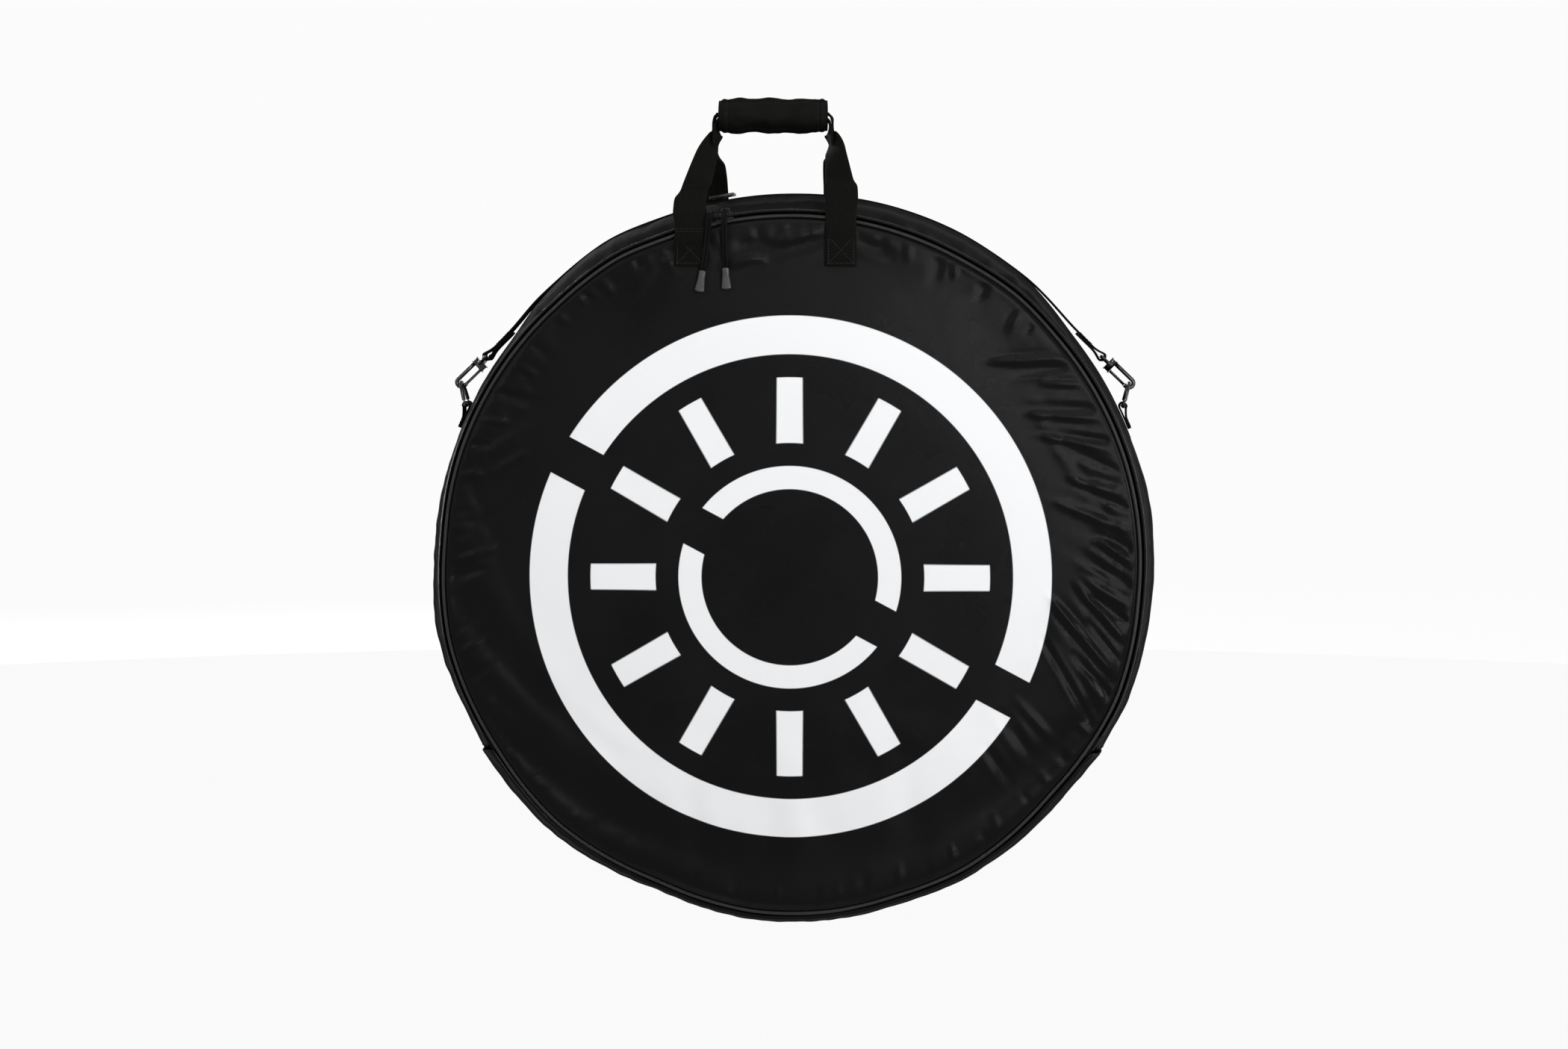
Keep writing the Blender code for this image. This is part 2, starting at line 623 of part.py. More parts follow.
def handle_run(side, layer, end_gap):
    """Knots of the level top of a handle, which lies in the grip."""
    corner = WEB_THICKNESS * 1.5
    height = GRIP_HEIGHT + layer
    reach = GRIP_LENGTH / 2 + end_gap
    half = [(reach, height - corner * 2, WEB_CORNER_WIDTH),
            (reach - corner, height - corner / 4, WEB_TWIST_WIDTH),
            (reach - corner * 4, height, WEB_GRIP_WIDTH)]
    across = Vector((0, -side, 0))
    left = [((GRIP_CENTRE_X - x, 0.0, z), across, width) for x, z, width in half]
    right = [((GRIP_CENTRE_X + x, 0.0, z), across, width) for x, z, width in reversed(half)]
    return left + right


def build_handle(name, side, left_x, right_x, layer, end_gap, origin=None):
    """A webbing handle, sewn on a panel by both legs, with its top run in the grip."""
    left = handle_leg(side, -1, left_x, layer, end_gap)
    right = handle_leg(side, 1, right_x, layer, end_gap)
    right = [(place, -Vector(across), width) for place, across, width in reversed(right)]
    route = left + handle_run(side, layer, end_gap) + right
    return make_object(name, flat_strap(route, WEB_THICKNESS, HANDLE_STEPS), WEBBING, origin)


def wrap_outline(start, end, steps, grow=0.0):
    """Section of a stretch of the grip wrap, from one angle to the other about its middle."""
    outer, inner = [], []
    for step in range(steps + 1):
        turn = math.radians(start + (end - start) * step / steps)
        depth, height = -math.cos(turn), math.sin(turn)
        outer.append((depth * (GRIP_OUTER_DEPTH / 2 + grow), height * (GRIP_OUTER_HEIGHT / 2 + grow)))
        inner.append((depth * (GRIP_OUTER_DEPTH / 2 - GRIP_WALL + grow),
                      height * (GRIP_OUTER_HEIGHT / 2 - GRIP_WALL + grow)))
    return outer + inner[::-1]


def wrap_hinge():
    """A point on the line about which the front of the wrap peels open."""
    turn = math.radians(GRIP_OPEN_TOP_ANGLE)
    return (GRIP_CENTRE_X, -GRIP_OUTER_DEPTH / 2 * math.cos(turn) - FOLD_GAP,
            GRIP_HEIGHT + GRIP_OUTER_HEIGHT / 2 * math.sin(turn))


def build_wrap():
    """The padded wrap round both handles: the fixed back and the front that peels open."""
    gap = math.degrees(FOLD_GAP / (GRIP_OUTER_HEIGHT / 2))
    ends = [GRIP_CENTRE_X - GRIP_LENGTH / 2, GRIP_CENTRE_X + GRIP_LENGTH / 2]
    parts = (("grip_wrap_base", GRIP_OPEN_TOP_ANGLE + gap, 360 + GRIP_OPEN_BASE_ANGLE - gap, 16, None),
             ("grip_wrap_front", GRIP_OPEN_BASE_ANGLE, GRIP_OPEN_TOP_ANGLE, 9, wrap_hinge()))
    for name, start, end, steps, origin in parts:
        outline = wrap_outline(start, end, steps)

        def section(index, outline=outline):
            return [Vector((ends[index], y, GRIP_HEIGHT + z)) for y, z in outline]

        make_object(name, swept(ends, section), NYLON, origin)


def strap_radius():
    """Radius of the middle of the shoulder strap where it lies on the gusset."""
    return OUTER_RADIUS + STRAP_LIFT + STRAP_THICKNESS / 2


def hook_line(sign):
    """Start and direction of the line from a ring to where the strap meets the gusset."""
    start = rim_point(ring_top_radius(), RING_ANGLE + ring_top_angle())
    reach = start - Vector((0, 0, CENTRE_HEIGHT))
    lean = math.acos(strap_radius() / reach.length)
    base = math.atan2(reach.z, reach.x)
    touch = rim_point(strap_radius(), math.degrees(base + lean))
    direction = (touch - start).normalized()
    return (Vector((sign * start.x, start.y, start.z)), Vector((sign * direction.x, 0, direction.z)),
            math.degrees(base + lean))


def ring_bar_radius():
    """Radius at which a ring's straight bar lies."""
    return OUTER_RADIUS + TAB_THICKNESS + RUN_GAP * 2 + FIT_GAP + RING_WIRE / 2


def ring_top_radius():
    """Radius of the middle of the wire at the ring's far end."""
    reach = RING_DEPTH + RING_WIRE
    along = reach * math.cos(math.radians(RING_LEAN))
    out = ring_bar_radius() + reach * math.sin(math.radians(RING_LEAN))
    return math.hypot(out, along)


def ring_top_angle():
    """Angle from the ring's bar to its far end, about the bag's middle."""
    reach = RING_DEPTH + RING_WIRE
    along = reach * math.cos(math.radians(RING_LEAN))
    out = ring_bar_radius() + reach * math.sin(math.radians(RING_LEAN))
    return math.degrees(math.atan2(along, out))


def mirrored_x(point, sign):
    """The point, or its mirror image on the left."""
    return Vector((sign * point.x, point.y, point.z))


RING_ARC_STEPS = 12
TAB_FLAT_SHARES = (1.0, 0.66, 0.33)
TAB_RETURN_SHARES = (0.55, 1.0)
TAB_STEPS = 30


def build_ring(side, sign):
    """A D-shaped ring, leaning out from the gusset."""
    radial, tangent, depth = rim_axes(RING_ANGLE)
    bar = rim_point(ring_bar_radius(), RING_ANGLE)
    lean = math.radians(RING_LEAN)
    out = tangent * math.cos(lean) + radial * math.sin(lean)
    half = (RING_INNER_WIDTH + RING_WIRE) / 2
    corner, reach = RING_WIRE, RING_DEPTH + RING_WIRE
    points = [bar - depth * (half - corner), bar + depth * (half - corner)]
    for step in range(RING_ARC_STEPS + 1):
        turn = math.pi * step / RING_ARC_STEPS
        away = out * (corner + (reach - corner) * math.sin(turn))
        points.append(bar + depth * half * math.cos(turn) + away)
    ring = wire([mirrored_x(p, sign) for p in points], RING_WIRE, 6, closed=True,
                upright=mirrored_x(out, sign))
    make_object("d_ring_" + side, ring, METAL, mirrored_x(bar, sign))


def build_ring_tab(side, sign):
    """The webbing tab that holds a ring on the gusset, folded round its straight bar."""
    radial, tangent, depth = rim_axes(RING_ANGLE)
    bar = rim_point(ring_bar_radius(), RING_ANGLE)
    eye = RING_WIRE / 2 + RUN_GAP * 2 + TAB_THICKNESS / 2
    base = OUTER_RADIUS + FIT_GAP + TAB_THICKNESS / 2
    length = math.degrees(TAB_LENGTH / OUTER_RADIUS)
    places = [rim_point(base, RING_ANGLE - length * share) for share in TAB_FLAT_SHARES]
    for angle in range(-90, 151, 30):
        turn = math.radians(angle)
        places.append(bar + tangent * eye * math.cos(turn) + radial * eye * math.sin(turn))
    base += TAB_THICKNESS + FIT_GAP
    places += [rim_point(base, RING_ANGLE - length * share) for share in TAB_RETURN_SHARES]
    route = [(mirrored_x(place, sign), depth, TAB_WIDTH) for place in places]
    make_object("ring_tab_" + side, flat_strap(route, TAB_THICKNESS, TAB_STEPS), WEBBING)


def box_between(name, start, end, half_wide, half_thick, finish, origin=None):
    """A block from one point to another, with its half width and half thickness as vectors."""
    ends = [start, end]

    def section(index):
        here = ends[index]
        return [here - half_wide - half_thick, here + half_wide - half_thick,
                here + half_wide + half_thick, here - half_wide + half_thick]

    return make_object(name, swept(ends, section), finish, origin)


def hook_frame(sign):
    """The ring's far wire, the strap line's direction, the outward normal and where it meets the rim."""
    start, direction, touch = hook_line(sign)
    normal = Vector((direction.z, 0, -direction.x)) * sign
    return start, direction, normal, touch


def eye_place():
    """Distance from the ring's wire to the middle of the bar that holds the strap."""
    return HOOK_LENGTH + HOOK_WIRE + EYE_LENGTH


HOOK_BEND_STEPS = 8


def hook_eye(start, direction, depth, normal):
    """The closed loop at a hook's end, through which the strap is folded."""
    half = STRAP_WIDTH / 2 + EYE_WIRE * 1.5
    near = start + direction * (HOOK_LENGTH + HOOK_WIRE)
    far = start + direction * eye_place()
    corner = EYE_WIRE
    inset, turn = depth * (half - corner), direction * corner
    side = depth * half
    loop = [near - inset, near + inset, near + side + turn, far + side - turn,
            far + inset, far - inset, far - side - turn, near - side + turn]
    return wire(loop, EYE_WIRE, 8, True, normal)


def build_hook(side, sign):
    """A snap hook on the ring, with its gate and the eye that holds the strap."""
    start, direction, normal, _ = hook_frame(sign)
    depth = Vector((0, 1, 0))
    bend = RING_WIRE / 2 + HOOK_WIRE / 2 + RUN_GAP
    points = [start + direction * (HOOK_LENGTH + HOOK_WIRE / 2) + normal * bend,
              start + direction * HOOK_LENGTH / 2 + normal * bend]
    for step in range(HOOK_BEND_STEPS + 1):
        turn = math.pi * step / HOOK_BEND_STEPS
        points.append(start + normal * bend * math.cos(turn) - direction * bend * math.sin(turn))
    nose = start - normal * bend + direction * HOOK_WIRE / 2
    hook = make_object("snap_hook_" + side, wire(points + [nose], HOOK_WIRE, 8), METAL, start)
    block_start = start + direction * HOOK_LENGTH
    block_end = block_start + direction * HOOK_WIRE * 1.5
    block = box_between("hook_block_tool_" + side, block_start, block_end, depth * HOOK_WIRE,
                        normal * (bend + HOOK_WIRE / 2), METAL)
    combine(hook, block, "UNION")
    combine(hook, make_object("hook_eye_tool_" + side, hook_eye(start, direction, depth, normal), METAL),
            "UNION")
    pivot = block_start - normal * bend - direction * RUN_GAP
    half = HOOK_WIRE / 3
    box_between("hook_gate_" + side, nose + direction * RUN_GAP, pivot, depth * half, normal * half,
                METAL, pivot)


STRAP_TAIL_SHARE = 1.2
STRAP_FOLD_STEPS = 6
STRAP_ARC_STEPS = 12
STRAP_STEPS = 72


def strap_end(sign):
    """Knots of a strap end, folded round the eye of its hook, and where it meets the gusset."""
    start, direction, normal, touch = hook_frame(sign)
    turn_radius = EYE_WIRE / 2 + RUN_GAP * 2 + STRAP_THICKNESS / 2
    tail = direction * STRAP_WIDTH * STRAP_TAIL_SHARE
    layer = normal * (STRAP_THICKNESS + FIT_GAP) / 2
    bar = start + direction * eye_place()
    near = direction * turn_radius * 3
    knots = [bar + tail - layer, bar + near - layer]
    for step in range(STRAP_FOLD_STEPS + 1):
        angle = math.pi * step / STRAP_FOLD_STEPS
        knots.append(bar - normal * turn_radius * math.cos(angle)
                     - direction * turn_radius * math.sin(angle))
    return knots + [bar + near + layer, bar + tail + layer], touch


def build_strap():
    """The shoulder strap: folded round the eye of each hook and laid over the top of the gusset."""
    right, touch = strap_end(1)
    left, _ = strap_end(-1)
    sweep = 180 - 2 * touch
    over = [rim_point(strap_radius(), touch + sweep * step / STRAP_ARC_STEPS)
            for step in range(STRAP_ARC_STEPS + 1)]
    route = [(knot, (0, 1, 0), STRAP_WIDTH) for knot in right + over + left[::-1]]
    make_object("shoulder_strap", flat_strap(route, STRAP_THICKNESS, STRAP_STEPS), WEBBING)


def build_adjuster():
    """The length adjuster on the shoulder strap: a plate with two slots."""
    radial, tangent, depth = rim_axes(ADJUSTER_ANGLE)
    rise = strap_radius() + STRAP_THICKNESS / 2 + FIT_GAP * 3 + ADJUSTER_THICKNESS / 2
    middle = rim_point(rise, ADJUSTER_ANGLE)
    half = tangent * ADJUSTER_LENGTH / 2
    plate = box_between("strap_adjuster", middle - half, middle + half, depth * ADJUSTER_WIDTH / 2,
                        radial * ADJUSTER_THICKNESS / 2, PLASTIC)
    for index, sign in enumerate((-1, 1)):
        place = middle + tangent * sign * ADJUSTER_LENGTH / 4
        reach = tangent * ADJUSTER_SLOT / 2
        slot = box_between("slot_tool_" + str(index), place - reach, place + reach,
                           depth * STRAP_WIDTH / 2, radial * ADJUSTER_THICKNESS, PLASTIC)
        combine(plate, slot, "DIFFERENCE")


def build_inside():
    """The padded divider between two wheels, and a hub protector on each side."""
    half = DIVIDER_THICKNESS / 2
    hem = CENTRE_HEIGHT - LINING_INNER_RADIUS + RUN_GAP + FIT_GAP
    disc = turned([(0, -half), (DIVIDER_RADIUS, -half), (DIVIDER_RADIUS, half), (0, half)])
    bmesh.ops.translate(disc, verts=disc.verts, vec=(0, 0, hem + DIVIDER_RADIUS - CENTRE_HEIGHT))
    make_object("wheel_divider", disc, PADDING, (0, 0, hem))
    lining_inner = SHELL_THICKNESS + FOAM_THICKNESS + LINING_THICKNESS + FIT_GAP * 3
    face = face_y(HUB_DISC_RADIUS) - lining_inner
    for side, name, origin in ((-1, "hub_protector_front", hinge_point()),
                               (1, "hub_protector_back", None)):
        outline = [(0, side * (face - HUB_DISC_THICKNESS)),
                   (HUB_DISC_RADIUS, side * (face - HUB_DISC_THICKNESS)),
                   (HUB_DISC_RADIUS, side * face), (0, side * face)]
        make_object(name, turned(outline, 32), PLASTIC, origin)


def main():
    """Builds the bag."""
    clear_scene()
    build_panels()
    build_gusset()
    build_edges()
    build_zip()
    for side in ("left", "right"):
        build_pull(side, build_slider(side))
    build_handle("handle_front", -1, FRONT_LEG_LEFT_X, FRONT_LEG_RIGHT_X, WEB_LAYER_PITCH / 2,
                 HANDLE_END_GAP + HANDLE_NEST_GAP, hinge_point())
    build_handle("handle_back", 1, BACK_LEG_LEFT_X, BACK_LEG_RIGHT_X, -WEB_LAYER_PITCH / 2,
                 HANDLE_END_GAP)
    build_wrap()
    for side, sign in (("left", -1), ("right", 1)):
        build_ring(side, sign)
        build_ring_tab(side, sign)
        build_hook(side, sign)
    build_strap()
    build_adjuster()
    build_inside()


main()
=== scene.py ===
"""Dresses the packed bike wheel bag: skins, padding, zip, webbing and hardware.

Metres, +Z up, the front panel faces -Y. Sizes repeat the part's own values.
"""
import json
import logging
from dataclasses import dataclass, field
from enum import Enum
from functools import partial
from math import acos, asin, atan2, copysign, cos, degrees, exp, hypot, pi, radians, sin, sqrt, tau
from typing import Callable, Optional, Sequence, Union

import bmesh
import bpy
import numpy as np
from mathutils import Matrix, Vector, noise

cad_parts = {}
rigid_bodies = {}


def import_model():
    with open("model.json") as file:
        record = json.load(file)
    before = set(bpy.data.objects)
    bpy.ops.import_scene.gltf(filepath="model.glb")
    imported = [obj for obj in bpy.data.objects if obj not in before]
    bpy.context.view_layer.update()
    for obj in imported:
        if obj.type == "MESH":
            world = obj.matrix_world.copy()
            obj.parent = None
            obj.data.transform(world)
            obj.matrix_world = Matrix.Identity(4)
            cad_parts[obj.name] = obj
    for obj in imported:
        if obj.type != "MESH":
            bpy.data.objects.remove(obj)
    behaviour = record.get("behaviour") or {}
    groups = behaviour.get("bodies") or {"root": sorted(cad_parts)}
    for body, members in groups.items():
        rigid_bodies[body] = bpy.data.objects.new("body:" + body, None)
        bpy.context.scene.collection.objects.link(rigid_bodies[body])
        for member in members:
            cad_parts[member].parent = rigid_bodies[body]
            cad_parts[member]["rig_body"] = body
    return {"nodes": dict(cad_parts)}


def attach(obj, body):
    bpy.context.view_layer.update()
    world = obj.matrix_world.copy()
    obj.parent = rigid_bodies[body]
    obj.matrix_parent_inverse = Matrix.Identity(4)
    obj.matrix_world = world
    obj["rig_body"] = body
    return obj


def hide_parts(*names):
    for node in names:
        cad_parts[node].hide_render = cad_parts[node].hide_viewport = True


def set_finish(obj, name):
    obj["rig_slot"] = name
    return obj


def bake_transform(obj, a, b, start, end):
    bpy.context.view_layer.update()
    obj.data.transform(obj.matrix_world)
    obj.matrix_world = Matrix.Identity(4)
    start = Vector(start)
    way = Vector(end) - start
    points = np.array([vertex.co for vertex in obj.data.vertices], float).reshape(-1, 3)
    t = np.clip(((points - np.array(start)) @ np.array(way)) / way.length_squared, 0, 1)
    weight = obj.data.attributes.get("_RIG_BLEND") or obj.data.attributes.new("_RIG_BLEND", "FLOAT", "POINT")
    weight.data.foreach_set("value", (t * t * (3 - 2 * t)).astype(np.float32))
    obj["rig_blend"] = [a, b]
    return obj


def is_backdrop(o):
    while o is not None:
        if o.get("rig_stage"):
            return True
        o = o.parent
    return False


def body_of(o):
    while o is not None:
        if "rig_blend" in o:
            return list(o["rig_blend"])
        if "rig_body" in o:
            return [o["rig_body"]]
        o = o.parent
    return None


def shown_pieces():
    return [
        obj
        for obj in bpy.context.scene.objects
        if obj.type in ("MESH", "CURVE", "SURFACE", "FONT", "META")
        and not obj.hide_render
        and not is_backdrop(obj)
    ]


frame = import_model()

LOG = logging.getLogger("wheel_bag")
MM = 0.001
SEED = 7
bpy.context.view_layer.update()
DEPTH = Vector((0, 1, 0))

Colour = tuple[float, float, float, float]
Obj = bpy.types.Object
Socket = bpy.types.NodeSocket
Tree = bpy.types.NodeTree
Value = Union[float, int, tuple, Socket, bpy.types.Material]
Path = Sequence[tuple[Vector, Vector]]  # places, each with its outward direction
Ends = tuple[tuple[float, float], tuple[float, float]]


def srgb(*display: float) -> Colour:
    """Turns display colour values from 0 to 1 into a linear, opaque colour."""
    return (*[((v + 0.055) / 1.055) ** 2.4 if v > 0.04045 else v / 12.92 for v in display], 1.0)


class Coords(Enum):
    """Where a pattern's coordinates come from."""

    OBJECT = "Object"
    UV = "UV"


class Pattern(Enum):
    """The surface texture of a finish."""

    WEAVE = "weave"
    RIBS = "ribs"
    BRAID = "braid"
    GRAIN = "grain"


# --- node trees


class NodeWeb:
    """Adds nodes to a shader or geometry tree and joins them."""

    def __init__(self, tree: Tree) -> None:
        """Keeps the tree that gets the nodes."""
        self.tree = tree

    def add(self, kind: str, settings: Optional[dict] = None,
            inputs: Optional[dict] = None) -> bpy.types.Node:
        """Adds a node.

        Args:
            kind: the node's type.
            settings: the node's own settings.
            inputs: socket name or number to a value or a socket to join.

        Returns:
            The new node.
        """
        node = self.tree.nodes.new(kind)
        for key, value in (settings or {}).items():
            setattr(node, key, value)
        for key, value in (inputs or {}).items():
            if isinstance(value, Socket):
                self.tree.links.new(value, node.inputs[key])
            else:
                node.inputs[key].default_value = value
        return node

    def math(self, operation: str, *values: Value) -> Socket:
        """Adds a Math node and gives its output."""
        return self.add("ShaderNodeMath", {"operation": operation}, dict(enumerate(values))).outputs[0]

    def vector_math(self, operation: str, *values: Value) -> bpy.types.Node:
        """Adds a Vector Math node."""
        return self.add("ShaderNodeVectorMath", {"operation": operation}, dict(enumerate(values)))

    def mix_colour(self, factor: Value, first: Value, second: Value) -> Socket:
        """Mixes two colours.

        Args:
            factor: share of the second colour.
            first: colour at factor 0.
            second: colour at factor 1.

        Returns:
            The mixed colour's socket.
        """
        node = self.add("ShaderNodeMix", {"data_type": "RGBA"}, {0: factor, 6: first, 7: second})
        return node.outputs[2]

    def smooth(self, value: Value, low: float, high: float) -> Socket:
        """Turns a value into 0 to 1 between two levels, smoothly."""
        node = self.add("ShaderNodeMapRange", {"interpolation_type": "SMOOTHSTEP"},
                        {0: value, 1: low, 2: high, 3: 0.0, 4: 1.0})
        return node.outputs[0]

    def wave(self, value: Value, turns: Value) -> Socket:
        """Gives the sine of a value times its turns."""
        return self.math("SINE", self.math("MULTIPLY", value, turns))

    def parts(self, vector: Socket) -> bpy.types.NodeOutputs:
        """Splits a vector into its three values."""
        return self.add("ShaderNodeSeparateXYZ", None, {0: vector}).outputs

    def clouds(self, vector: Value, scale: Value, detail: float, rough: float = 0.5) -> Socket:
        """Gives noise at a scale."""
        return self.add("ShaderNodeTexNoise", None, {"Vector": vector, "Scale": scale, "Detail": detail,
                                                     "Roughness": rough}).outputs[0]

    def group(self, tree: Tree, **inputs: Value) -> bpy.types.NodeOutputs:
        """Adds a node group and gives its outputs."""
        return self.add("ShaderNodeGroup", {"node_tree": tree}, inputs).outputs


def make_group(name: str, inputs: Sequence[tuple[str, str]], outputs: Sequence[str],
               fill: Callable[[NodeWeb, dict], dict], kind: str = "Shader",
               result: str = "NodeSocketFloat") -> Tree:
    """Makes a node group once.

    Args:
        name: the group's name.
        inputs: name and socket type of each input.
        outputs: name of each output.
        fill: makes the nodes from the inputs' sockets and gives the outputs' sockets.
        kind: the sort of tree, Shader or Geometry.
        result: socket type of the outputs.

    Returns:
        The group.
    """
    if name in bpy.data.node_groups:
        return bpy.data.node_groups[name]
    tree = bpy.data.node_groups.new(name, kind + "NodeTree")
    for label, socket in inputs:
        tree.interface.new_socket(label, in_out="INPUT", socket_type=socket)
    for label in outputs:
        tree.interface.new_socket(label, in_out="OUTPUT", socket_type=result)
    web = NodeWeb(tree)
    start = web.add("NodeGroupInput")
    made = fill(web, {label: start.outputs[label] for label, _ in inputs})
    web.add("NodeGroupOutput", None, made)
    return tree


VECTOR_INPUT = ("Vector", "NodeSocketVector")
PATTERN_INPUTS = [VECTOR_INPUT, ("Size", "NodeSocketFloat")]


def weave_group() -> Tree:
    """Plain woven cloth: two crossing sets of threads."""
    def fill(web: NodeWeb, given: dict) -> dict:
        """Joins the threads' waves."""
        turns = web.math("DIVIDE", tau, given["Size"])
        parts = web.parts(given["Vector"])
        across = web.wave(parts[0], turns)
        along = web.wave(web.math("ADD", parts[1], parts[2]), turns)
        return {"Height": web.math("MULTIPLY_ADD", web.math("MULTIPLY", across, along), 0.5, 0.5)}
    return make_group("woven_threads", PATTERN_INPUTS, ["Height"], fill)


def ribs_group() -> Tree:
    """Webbing: ribs along the length with a fine herringbone between them."""
    def fill(web: NodeWeb, given: dict) -> dict:
        """Joins the ribs and the slanting threads."""
        turns = web.math("DIVIDE", tau, given["Size"])
        parts = web.parts(given["Vector"])
        across = web.math("MULTIPLY", parts[0], turns)
        along = web.math("MULTIPLY", parts[1], turns)
        rib = web.math("ABSOLUTE", web.wave(across, 0.5))
        slant = web.math("PINGPONG", across, pi)
        thread = web.math("SINE", web.math("ADD", web.math("MULTIPLY", along, 1.4), slant))
        return {"Height": web.math("ADD", web.math("MULTIPLY", rib, 0.65),
                                   web.math("MULTIPLY", web.math("ABSOLUTE", thread), 0.35))}
    return make_group("webbing_ribs", PATTERN_INPUTS, ["Height"], fill)


def braid_group() -> Tree:
    """Braided cord: strands that cross on the slant."""
    def fill(web: NodeWeb, given: dict) -> dict:
        """Joins the two slants."""
        turns = web.math("DIVIDE", tau, given["Size"])
        parts = web.parts(given["Vector"])
        slants = [web.math("ABSOLUTE", web.wave(web.math(way, parts[0], parts[1]), turns))
                  for way in ("ADD", "SUBTRACT")]
        return {"Height": web.math("MULTIPLY", *slants)}
    return make_group("cord_braid", PATTERN_INPUTS, ["Height"], fill)


def grain_group() -> Tree:
    """Fine moulded or cast grain."""
    def fill(web: NodeWeb, given: dict) -> dict:
        """Joins the noise."""
        return {"Height": web.clouds(given["Vector"], web.math("DIVIDE", 1.0, given["Size"]), 3.0, 0.6)}
    return make_group("moulded_grain", PATTERN_INPUTS, ["Height"], fill)


def mottle_group() -> Tree:
    """Slow shade changes over a surface, and a thin scatter of dust."""
    def fill(web: NodeWeb, given: dict) -> dict:
        """Joins the clouds and the specks."""
        scale = web.math("DIVIDE", 1.0, given["Size"])
        slow = web.clouds(given["Vector"], scale, 4.0, 0.55)
        fine = web.clouds(given["Vector"], web.math("MULTIPLY", scale, 26.0), 2.0)
        return {"Shade": web.smooth(slow, 0.30, 0.70), "Dust": web.smooth(fine, 0.66, 0.80)}
    return make_group("shade_and_dust", PATTERN_INPUTS, ["Shade", "Dust"], fill)


def scuff_group() -> Tree:
    """Long thin scratches that cross each other."""
    def fill(web: NodeWeb, given: dict) -> dict:
        """Joins two stretched noises."""
        scale = web.math("DIVIDE", 1.0, given["Size"])
        marks = []
        for stretch in ((1.0, 14.0, 1.0), (9.0, 1.0, 13.0)):
            drawn = web.vector_math("MULTIPLY", given["Vector"], stretch).outputs[0]
            marks.append(web.smooth(web.clouds(drawn, scale, 2.0), 0.60, 0.72))
        return {"Scuff": web.math("MAXIMUM", *marks)}
    return make_group("thin_scuffs", PATTERN_INPUTS, ["Scuff"], fill)


def spoke_print_group() -> Tree:
    """A plain white print: broad rings, broken up, with short bars between them."""
    def fill(web: NodeWeb, given: dict) -> dict:
        """Joins rings and bars in polar coordinates about the panel's middle."""
        across, _, up = web.parts(given["Vector"])
        radius = web.math("SQRT", web.math("ADD", web.math("MULTIPLY", across, across),
                                           web.math("MULTIPLY", up, up)))
        angle = web.math("ARCTAN2", up, across)

        def window(value: Socket, low: float, high: float,
                   soft: float) -> Socket:
            """Gives 1 between two levels and 0 outside them."""
            return web.math("MULTIPLY", web.smooth(value, low - soft, low + soft),
                            web.math("SUBTRACT", 1.0, web.smooth(value, high - soft, high + soft)))

        soft = PRINT_SOFT_EDGE
        outer = window(radius, *PRINT_OUTER_RING, soft)
        inner = window(radius, *PRINT_INNER_RING, soft)
        turn = web.math("MULTIPLY", angle, PRINT_BAR_COUNT / 2)
        reach = web.math("MULTIPLY", web.math("ABSOLUTE", web.math("SINE", turn)), radius)
        bars = web.math("SUBTRACT", 1.0, web.smooth(reach, PRINT_BAR_REACH - soft * 9,
                                                    PRINT_BAR_REACH + soft * 9))
        bars = web.math("MULTIPLY", bars, window(radius, *PRINT_BARS, soft))
        slope = web.math("ADD", web.math("MULTIPLY", across, sin(PRINT_GAP_TILT)),
                         web.math("MULTIPLY", up, cos(PRINT_GAP_TILT)))
        gap = web.smooth(web.math("ABSOLUTE", slope), PRINT_GAP_HALF - soft, PRINT_GAP_HALF + soft)
        rings = web.math("MULTIPLY", web.math("MAXIMUM", outer, inner), gap)
        return {"Print": web.math("MAXIMUM", rings, bars)}
    return make_group("ring_and_bar_print", [VECTOR_INPUT], ["Print"], fill)


PATTERN_GROUPS = {Pattern.WEAVE: weave_group, Pattern.RIBS: ribs_group,
                  Pattern.BRAID: braid_group, Pattern.GRAIN: grain_group}
PRINT_SOFT_EDGE = 0.6 * MM
PRINT_OUTER_RING = (232 * MM, 272 * MM)
PRINT_INNER_RING = (92 * MM, 116 * MM)
PRINT_BARS = (140 * MM, 208 * MM)
PRINT_BAR_COUNT = 12
PRINT_BAR_REACH = 78 * MM
PRINT_GAP_TILT = radians(28)
PRINT_GAP_HALF = 21 * MM


# --- finishes


